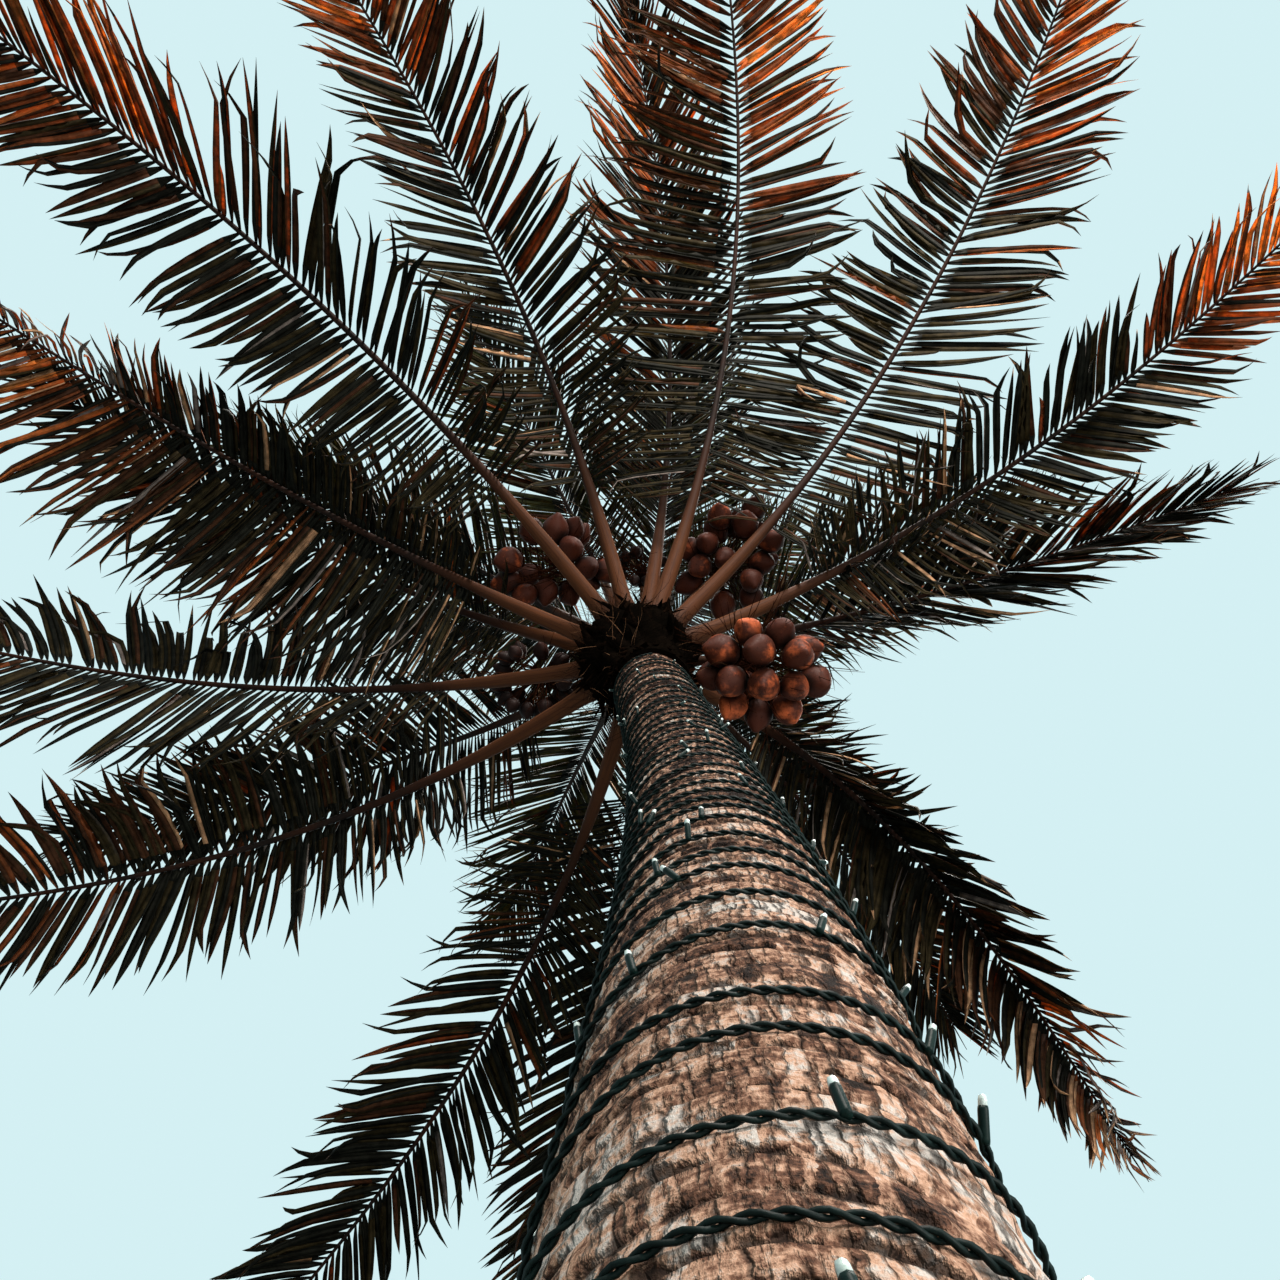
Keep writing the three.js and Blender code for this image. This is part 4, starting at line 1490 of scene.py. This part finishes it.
    def deal(self, sections: np.ndarray, kept: np.ndarray,
             colours: list[tuple[Tint, Tint, Tint]]) -> None:
        """Cut half-leaflets where their colour changes and heap them by colour.

        Args:
            sections: [leaflet, station, corner, xyz].
            kept: which leaflets stay.
            colours: the three tints of each.
        """
        patterns: dict[tuple[Tint, Tint, Tint], list[int]] = {}
        for i in np.nonzero(kept)[0]:
            patterns.setdefault(colours[i], []).append(i)
        last = len(self.stations) - 1
        for (base, middle, tip), rows in patterns.items():
            runs = [(base, 0, 2), (middle, 2, last - 1), (tip, last - 1, last)]
            merged = [runs[0]]
            for tint, start, end in runs[1:]:
                if merged[-1][0] is tint:
                    merged[-1] = (tint, merged[-1][1], end)
                else:
                    merged.append((tint, start, end))
            for tint, start, end in merged:
                self.heap(tint).add(sections[rows, start:end + 1])

    def build_and_dress(self) -> None:
        """Grow the leaflets of every frond and hand over the joined pieces."""
        for number, frond in enumerate(self.fronds):
            for left in (1, -1):
                self.grow(number, frond, left)
        nodes = [node for frond in self.fronds for node in frond.nodes]
        for tint in Tint:
            material = LeafFinish(tint).material()
            for part, strips in enumerate(self.heaps.get(tint, []), 1):
                piece = strips.piece(f"leaflets_{tint.name.lower()}_{part}")
                hand_over(piece, material, nodes)


@dataclass
class Bunch:
    """A bunch of nuts on its stalk, each nut on a strand of its own.

    height is the middle's height above the end of the trunk's line, and root the stalk's
    foot there. front lists the nuts that show from below, as offsets from the middle to the
    right and to the back. A bunch that rests on a petiole is pushed off it. loose is how many
    strands end between the nuts, many and dark, partly as painted shade in the gaps, and
    crevice_shade how far off its neighbours a nut gets painted shade. The nuts of higher
    bunches are painted darker, as shade.
    """

    number: int
    azimuth: float
    reach: float
    height: float
    root: float
    radius: float
    nuts: int
    spread: Triple
    front: tuple[Pair, ...] = ()
    small: bool = False
    loose: int = 26
    rounds: int = 200
    crevice_shade: float = 0.034
    places: np.ndarray = field(default_factory=lambda: np.zeros((0, 3)))
    sizes: np.ndarray = field(default_factory=lambda: np.zeros(0))

    @property
    def middle(self) -> np.ndarray:
        """The middle of the bunch."""
        return on_crown(self.azimuth, self.reach, self.height)

    def settle(self, posts: np.ndarray, girths: np.ndarray) -> None:
        """Find places for the nuts and push them apart until they only just touch.

        Args:
            posts: points along the petioles.
            girths: how far each keeps the middle of a nut off, less the nut's radius.
        """
        draw = np.random.default_rng(Seed.NUT_PLACES + self.number)
        wide, deep, tall = self.spread
        front = np.array([
            (x, y, -tall * math.sqrt(max(0.05, 1 - (x / wide) ** 2 - (y / deep) ** 2)))
            for x, y in self.front]).reshape(-1, 3)
        extra = max(0, self.nuts - len(front))
        turn = draw.uniform(0, math.tau, extra)
        rest = np.stack([0.75 * wide * np.cos(turn), 0.75 * deep * np.sin(turn),
                         draw.uniform(-0.2, 0.9, extra) * tall], -1)
        spots = np.concatenate([front, rest])
        sizes = self.radius * draw.uniform(0.90, 1.06, len(spots))
        loose = np.ones((len(spots), 3))
        loose[:len(front), :2] = 0.22
        near = np.linalg.norm(posts - self.middle, axis=-1) < 0.6
        posts, girths = posts[near] - self.middle, girths[near]
        for _ in range(self.rounds):
            gap = spots[:, None] - spots[None]
            gap[..., 2] += np.sign(gap[..., 2] + 1e-6 * np.arange(len(spots))[:, None]) * 0.004
            far = np.linalg.norm(gap, axis=-1) + np.eye(len(spots))
            want = 1.01 * (sizes[:, None] + sizes[None])
            push = np.maximum(0, want - far) * (1 - np.eye(len(spots)))
            spots = spots + 0.35 * (gap / far[..., None] * push[..., None]).sum(1) * loose
            inward = np.linalg.norm(spots / np.array(self.spread), axis=-1, keepdims=True)
            spots[len(front):] -= (spots * np.maximum(0, inward - 1.0) * 0.2)[len(front):]
            if len(posts):
                off = spots[:, None] - posts[None]
                far = np.linalg.norm(off, axis=-1)
                push = np.maximum(0, sizes[:, None] + girths[None] - far)
                worst = push.argmax(1)
                rows = np.arange(len(spots))
                spots = spots + 0.6 * unit(off[rows, worst]) * push[rows, worst, None]
        self.places = self.middle + spots
        self.sizes = sizes

    def one_nut(self) -> Piece:
        """Model one nut at the origin, its stem end up: three faint ridges and a blunt point."""
        Modeller.clear()
        bpy.ops.mesh.primitive_uv_sphere_add(segments=20, ring_count=13, radius=1.0)
        nut = Modeller.start("nut_pattern")
        local = Modeller.points(nut)
        height = local[:, 2]
        level = np.sqrt(np.maximum(0, 1 - height ** 2))
        ridge = 1 + 0.05 * np.cos(3 * angles_of(local)) * level
        full = 0.97 - 0.20 * smooth(-height, 0.1, 1.0) + 0.02 * smooth(height, 0.2, 0.9)
        local[:, :2] *= (ridge * full)[:, None]
        local[:, 2] = height * 1.16 - 0.14 * smooth(-height, 0.86, 1.0)
        Modeller.move(nut, local)
        return nut

    def one_cap(self, nut: Piece) -> Piece:
        """Model the calyx: the nut's top, cut off, given thickness and frilled."""
        Modeller.clear()
        cap = Modeller.link("cap_pattern", nut.data.copy())
        cap.select_set(True)
        bpy.context.view_layer.objects.active = cap
        bpy.ops.object.mode_set(mode="EDIT")
        bpy.ops.mesh.select_all(action="SELECT")
        bpy.ops.mesh.bisect(plane_co=(0, 0, 0.93), plane_no=(0, 0, 1), clear_inner=True)
        bpy.ops.object.mode_set(mode="OBJECT")
        local = Modeller.points(cap)
        frill = np.cos(3 * angles_of(local) + 0.5) * smooth(0.99 - local[:, 2], 0.0, 0.1)
        local[:, :2] *= 1.12 * (1.0 + 0.16 * frill[:, None])
        local[:, 2] += 0.02
        Modeller.move(cap, local)
        wall = cap.modifiers.new("wall", "SOLIDIFY")
        wall.thickness = 0.06
        wall.offset = 1.0
        bpy.ops.object.modifier_apply(modifier=wall.name)
        return cap

    def copies(self, pattern: Piece, name: str) -> Piece:
        """Join a copy of the pattern for each nut.

        Args:
            pattern: a nut or a cap at the origin.
            name: the joined piece's name.

        Returns:
            The piece, with the tone of each nut (darker as painted shade in higher bunches), its
            tip and the painted shade near its neighbours kept at its points.
        """
        draw = np.random.default_rng(Seed.NUT_TURNS + self.number)
        local = Modeller.points(pattern)
        hang = self.middle + 0.16 * UP
        # Painted shade: nuts of higher bunches are made darker, as if the petioles shaded them.
        shade = 0.5 * float(smooth(self.height, 0.0, 0.9))
        points, tones, crevices = [], [], []
        for number, (spot, size) in enumerate(zip(self.places, self.sizes)):
            out = unit(spot - hang) * np.array((1, 1, 0.8)) + draw.normal(0, 0.16, 3)
            turn = Vector(-out).to_track_quat("Z", "Y").to_matrix()
            turn = turn @ Matrix.Rotation(draw.uniform(0, math.tau), 3, "Z")
            points.append(spot + (local * size) @ np.array(turn).T)
            tones.append(np.full(len(local), draw.uniform(-0.5, 0.5) - shade))
            # Painted shade: each point darkens the nearer it lies to another nut.
            others = np.arange(len(self.sizes)) != number
            gaps = np.linalg.norm(points[-1][:, None] - self.places[others], axis=-1)
            gaps = np.maximum((gaps - self.sizes[others]).min(1), 0)
            crevices.append(np.exp(-gaps / self.crevice_shade))
        mesh = bpy.data.meshes.new(name)
        faces = [tuple(polygon.vertices) for polygon in pattern.data.polygons]
        joined = [tuple(corner + i * len(local) for corner in face)
                  for i in range(len(points)) for face in faces]
        mesh.from_pydata(np.concatenate(points).tolist(), [], joined)
        mesh.update()
        piece = Modeller.link(name, mesh)
        Modeller.mark(piece, "tone", np.concatenate(tones))
        Modeller.mark(piece, "tip", np.tile(smooth(-local[:, 2], 1.24, 1.30), len(points)))
        Modeller.mark(piece, "crevice_shade", np.concatenate(crevices))
        return Modeller.soften(piece, 60)

    def stalk_line(self) -> np.ndarray:
        """Return the points of the bunch's main stalk, from the heart to its middle."""
        start = on_crown(self.azimuth, 0.15, self.root)
        end = self.middle + 0.06 * UP
        bend = on_crown(self.azimuth, self.reach * 0.80, max(self.root, self.height + 0.06) + 0.04)
        return bow(start, bend, end, np.linspace(0, 1, BUNCH_STALK_POINTS)[:, None])

    def stalk(self) -> Piece:
        """Model the bunch's main stalk."""
        bar = Modeller.tube(f"bunch_{self.number}_stalk", STALK_SIDES, (BUNCH_STALK_POINTS - 2,))
        radii = np.linspace(1.0, 0.55, BUNCH_STALK_POINTS) * (0.013 if self.small else 0.026)
        radii[-1] *= 0.4
        Modeller.bend_tube(bar, self.stalk_line(), radii)
        local = Modeller.points(bar)
        Modeller.mark(bar, "along", np.linalg.norm(local - local[0], axis=-1) * 0.1)
        Modeller.mark(bar, "around", np.arange(len(local)) % 2 * 0.2)
        return Modeller.soften(bar, 50)

    def strands(self) -> Piece:
        """Model the strands: one to each nut, and loose ones between them."""
        draw = np.random.default_rng(Seed.NUT_STRANDS + self.number)
        line = self.stalk_line()
        ends, starts, thick = [], [], []
        for spot, size in zip(self.places, self.sizes):
            starts.append(line[int(draw.integers(24, 36))])
            ends.append(spot + unit(starts[-1] - spot) * size * 0.9)
            thick.append(0.0042)
        # Partly painted shade: the bunch's real loose strands are drawn many and dark to darken the
        # gaps between the nuts.
        for _ in range(self.loose):
            starts.append(line[int(draw.integers(20, 36))])
            reach = draw.choice([draw.uniform(0.3, 1.2), draw.uniform(1.4, 2.1)])
            aim = unit(draw.normal(0, 1, 3) - 0.4 * UP)
            ends.append(self.middle + aim * np.array(self.spread) * reach)
            thick.append(draw.uniform(0.0016, 0.0032))
        starts, ends = np.array(starts), np.array(ends)
        bend = (starts + ends) / 2 + draw.normal(0, 0.035, starts.shape) + 0.05 * UP
        share = np.linspace(0, 1, 9)
        lines = bow(starts[:, None], bend[:, None], ends[:, None], share[:, None])
        strips = Strips()
        strips.add(rods(lines, np.array(thick)[:, None] * np.linspace(1.2, 0.5, len(share)), 5))
        return strips.piece(f"bunch_{self.number}_strands")

    def build_and_dress(self, husk: bpy.types.Material, rim: bpy.types.Material,
                        stem: bpy.types.Material) -> None:
        """Make the bunch's pieces and hand them over.

        Args:
            husk: the nuts' material.
            rim: the caps' material.
            stem: the material of the stalk and strands.
        """
        nut = self.one_nut()
        cap = self.one_cap(nut)
        nodes = [f"bunch_{self.number}"]
        hand_over(self.copies(nut, f"bunch_{self.number}_nuts"), husk, nodes)
        hand_over(self.copies(cap, f"bunch_{self.number}_caps"), rim, nodes)
        hand_over(self.stalk(), stem, nodes)
        hand_over(self.strands(), rim, nodes)
        for pattern in (nut, cap):
            bpy.data.objects.remove(pattern)


def offsets(places: Sequence[Pair], middle: Pair, distance: float) -> tuple[Pair, ...]:
    """Turn places of nuts as seen from below into offsets from their bunch's middle.

    Args:
        places: to the right and to the back, VIEW_STEPS of them as long as the distance.
        middle: the bunch's middle.
        distance: of the bunch from the eye, in metres.

    Returns:
        The offsets, in metres.
    """
    return tuple(((x - middle[0]) * distance / VIEW_STEPS, (y - middle[1]) * distance / VIEW_STEPS)
                 for x, y in places)


@dataclass
class Course:
    """The string's line round the trunk, by its points.

    Each has the outward direction, the direction along the string and the length up to it.
    """

    line: np.ndarray
    out: np.ndarray
    ahead: np.ndarray
    length: np.ndarray


@dataclass
class LightString:
    """A string of small lights wound round the trunk: a twisted pair of wires and its lamps.

    seen lists the heights of the turns that show best, at the viewer's side. The others, a gap
    apart, go on from them down to low and up to high. socket and tip list the places along a
    lamp and its radius at each.
    """

    low: float = 0.45
    high: float = 6.66
    gap: float = 0.124
    strand: float = 0.0023
    pitch: float = 0.039
    step: float = 0.0060
    mean_radius: float = 0.19
    stand_off: float = 0.0062
    lamp_gap: float = 0.40
    lamp_sunk: float = 0.004
    seen: tuple[float, ...] = (2.11, 2.25, 2.407, 2.508, 2.73)
    socket: tuple[Pair, ...] = (
        (0, 0.0042), (0.003, 0.0046), (0.018, 0.0046), (0.026, 0.0046), (0.029, 0.0043))
    tip: tuple[Pair, ...] = ((0.024, 0.0041), (0.034, 0.0040), (0.037, 0.0034), (0.038, 0.0018))

    def turns(self) -> np.ndarray:
        """Return the string's height at the viewer's side at each of its turns."""
        draw = np.random.default_rng(Seed.TURNS)
        heights = list(self.seen)
        while heights[0] > self.low + self.gap:
            heights.insert(0, heights[0] - self.gap * draw.uniform(0.75, 1.3))
        while heights[-1] < self.high - self.gap:
            heights.append(heights[-1] + self.gap * draw.uniform(0.6, 1.4))
        return np.array(heights)

    def course(self) -> Course:
        """Work out the string's line round the trunk."""
        heights = self.turns()
        last = len(heights) - 1.0
        turn = np.linspace(0, last, int(last * math.tau * self.mean_radius / self.step))
        angle = math.tau * turn - math.pi / 2
        height = np.interp(turn, np.arange(len(heights)), heights)
        height = height + 0.007 * np.sin(angle * 1.37) + 0.004 * np.sin(angle * 3.1)
        out = level_ray(angle)
        line = trunk_middle(height) + out * (trunk_radius(height) + self.stand_off)[:, None]
        steps = np.linalg.norm(np.diff(line, axis=0, prepend=line[:1]), axis=-1)
        return Course(line, out, unit(np.gradient(line, axis=0)), np.cumsum(steps))

    def wire(self, course: Course, which: int) -> Piece:
        """Model one of the two twisted wires.

        Args:
            course: the string's line.
            which: 0 or 1.

        Returns:
            The piece.
        """
        phase = math.tau * course.length / self.pitch + math.pi * which
        above = np.cross(course.ahead, course.out)
        aside = course.out * np.cos(phase)[:, None] + above * np.sin(phase)[:, None]
        middle = course.line + aside * self.strand
        turn = (math.tau / 4 * np.arange(4))[:, None]
        inward = np.cross(course.ahead, above)
        spokes = np.cos(turn) * above[:, None] + np.sin(turn) * inward[:, None]
        strips = Strips()
        strips.add((middle[:, None] + spokes * self.strand)[None])
        return strips.piece(f"light_wire_{which + 1}")

    def lamps(self, course: Course) -> tuple[Piece, Piece]:
        """Model the lamps along the string.

        Args:
            course: the string's line.

        Returns:
            Their sockets and their clear tips.
        """
        draw = np.random.default_rng(Seed.LAMPS)
        count = int(course.length[-1] / self.lamp_gap)
        places = (np.arange(count) + draw.uniform(0.2, 0.8, count)) * self.lamp_gap
        at = np.clip(np.searchsorted(course.length, places), 0, len(course.line) - 1)
        lean = unit(course.out[at] * draw.uniform(0.10, 0.55, (count, 1))
                    + UP * draw.uniform(0.5, 1.0, (count, 1))
                    + course.ahead[at] * draw.normal(0, 0.30, (count, 1)))
        root = course.line[at] + course.out[at] * 0.003
        made = []
        for name, shape, sides in (("light_sockets", self.socket, 7), ("light_tips", self.tip, 6)):
            marks, radii = np.array(shape).T
            lines = root[:, None] + lean[:, None] * (marks - self.lamp_sunk)[:, None]
            strips = Strips()
            strips.add(rods(lines, np.broadcast_to(radii, (count, len(radii))), sides))
            made.append(strips.piece(name))
        return made[0], made[1]

    def build_and_dress(self) -> None:
        """Make the string's pieces and hand them over."""
        course = self.course()
        sleeve = WIRE.material()
        for which in (0, 1):
            hand_over(self.wire(course, which), sleeve)
        for piece, finish in zip(self.lamps(course), (SOCKET, LAMP_TIP)):
            hand_over(piece, finish.material())


@dataclass
class Studio:
    """The floor, the lights and the camera.

    right, top and forward are the directions of the view's right and upper edges and of the
    look itself. lamps gives each lamp's name, place, target, size, watts and colour.
    """

    eye: Triple = (0.02, -0.60, 1.45)
    right: Triple = (0.99996, 0.0, 0.00937)
    top: Triple = (-0.00028, -0.99956, 0.02967)
    forward: Triple = (-0.00937, 0.02967, 0.99952)
    sensor: float = 36.0
    sky: Colour = (0.66, 0.87, 0.90)
    lamps: tuple[tuple[str, Triple, Triple, float, float, Colour], ...] = (
        ("overhead", (1.5, -2.0, 17.0), (0.0, -0.3, 8.0), 9.0, 3400.0, (1.0, 0.95, 0.88)),
        ("front", (4.9, -3.4, 1.8), (0.1, -0.3, 0.4), 2.5, 500.0, (1.0, 0.95, 0.90)),
        ("side", (2.0, -8.8, 8.0), (0.2, -0.3, 6.9), 2.5, 1900.0, (1.0, 0.92, 0.85)),
    )

    def floor(self) -> None:
        """Lay the plain pale floor."""
        Modeller.clear()
        bpy.ops.mesh.primitive_circle_add(vertices=96, radius=150.0, fill_type="NGON")
        floor = Modeller.start("studio_floor")
        s = Shader("studio_floor")
        tone = s.mix(s.noise(s.place(), 0.8, 2), (0.42, 0.42, 0.41), (0.46, 0.46, 0.45))
        floor.data.materials.append(s.done(s.surface(tone, Roughness=0.9)))

    def lamp(self, name: str, place: Triple, target: Triple, size: float, power: float,
             colour: Colour) -> None:
        """Hang one soft lamp.

        Args:
            name: its name.
            place: where it is.
            target: what it points at.
            size: its side.
            power: in watts.
            colour: its colour.
        """
        data = bpy.data.lights.new(name, "AREA")
        data.shape = "SQUARE"
        data.size = size
        data.energy = power
        data.color = colour
        lamp = Modeller.link(name, data)
        lamp.location = place
        lamp.rotation_euler = (Vector(target) - Vector(place)).to_track_quat("-Z", "Y").to_euler()
        lamp.visible_camera = False

    def camera(self) -> None:
        """Set the camera at the foot of the trunk, looking up."""
        data = bpy.data.cameras.new("camera")
        data.sensor_width = self.sensor
        data.lens = self.sensor
        data.clip_start = 0.02
        camera = Modeller.link("camera", data)
        turn = Matrix((self.right, self.top, -Vector(self.forward))).transposed()
        camera.matrix_world = Matrix.Translation(self.eye) @ turn.to_4x4()
        bpy.context.scene.camera = camera

    def world(self) -> None:
        """Surround the scene with a pale sky tone."""
        world = bpy.data.worlds.new("studio")
        world.use_nodes = True
        background = world.node_tree.nodes["Background"]
        background.inputs["Color"].default_value = (*self.sky, 1.0)
        background.inputs["Strength"].default_value = 1.0
        bpy.context.scene.world = world
        bpy.context.scene.view_settings.view_transform = "Standard"

    def build(self) -> None:
        """Set everything up."""
        self.floor()
        self.world()
        for lamp in self.lamps:
            self.lamp(*lamp)
        self.camera()


def make_bunches() -> list[Bunch]:
    """Describe the six bunches."""
    first = offsets(
        [(744, 638), (753, 653), (778, 639), (791, 659), (718, 657), (729, 688), (757, 688),
         (789, 688), (812, 687), (784, 716), (754, 720), (732, 709), (709, 681)], (765, 672), 5.35)
    second = offsets(
        [(718, 517), (754, 513), (745, 525), (760, 535), (705, 547), (691, 551), (697, 564),
         (721, 558), (764, 543), (760, 561), (751, 578), (750, 598), (721, 606), (687, 584)],
        (729, 561), 6.75)
    third = offsets(
        [(509, 562), (534, 530), (561, 533), (571, 546), (590, 568), (606, 572), (510, 584),
         (521, 593)], (558, 561), 6.6)
    fifth = offsets([(634, 581), (646, 581)], (642, 569), 6.9)
    return [
        Bunch(1, 1, 0.560, -0.330, 0.06, 0.070, 17, (0.24, 0.21, 0.20), first, loose=170),
        Bunch(2, -45, 0.685, 1.030, 0.40, 0.068, 17, (0.25, 0.27, 0.15), second, loose=150),
        Bunch(3, -132, 0.645, 0.910, 0.50, 0.069, 14, (0.28, 0.22, 0.15), third, loose=150),
        Bunch(4, 167, 0.552, 0.575, 0.32, 0.042, 22, (0.24, 0.20, 0.12), (), True, 90),
        Bunch(5, -88, 0.445, 1.160, 0.62, 0.034, 9, (0.16, 0.13, 0.09), fifth, True, 150),
        Bunch(6, 72, 0.540, -0.330, 0.06, 0.069, 15, (0.17, 0.20, 0.20)),
    ]


def main() -> None:
    """Build the palm piece by piece, then the studio round it."""
    logging.basicConfig(level=logging.INFO, format="%(name)s: %(message)s")
    trunk = Trunk()
    trunk.dress(trunk.build())
    Heart().build_and_dress()
    Spear().build_and_dress()

    bunches = make_bunches()
    stem = StalkFinish().material()
    rim = CALYX.material()
    husks = {False: RIPE_HUSK.material(), True: YOUNG_HUSK.material()}
    fronds = all_fronds()
    ribs = [frond.rib(np.linspace(0, PETIOLE_SHARE, PETIOLE_POINTS)) for frond in fronds]
    posts = np.concatenate([rib.middle for rib in ribs])
    girths = np.concatenate([along(RIB_WIDTHS, rib.share) * PETIOLE_GIRTH for rib in ribs])
    for bunch in bunches:
        bunch.settle(posts, girths)
        bunch.build_and_dress(husks[bunch.small], rim, stem)

    for number, frond in enumerate(fronds, 1):
        hand_over(frond.stalk(f"frond_{number:02d}_stalk"), stem, frond.nodes)
    nuts = [(place, size + NUT_GAP) for bunch in bunches
            for place, size in zip(bunch.places, bunch.sizes)]
    Leaflets(fronds, Blockers(fronds, nuts)).build_and_dress()
    LightString().build_and_dress()
    Studio().build()


if __name__ == "__main__":
    main()
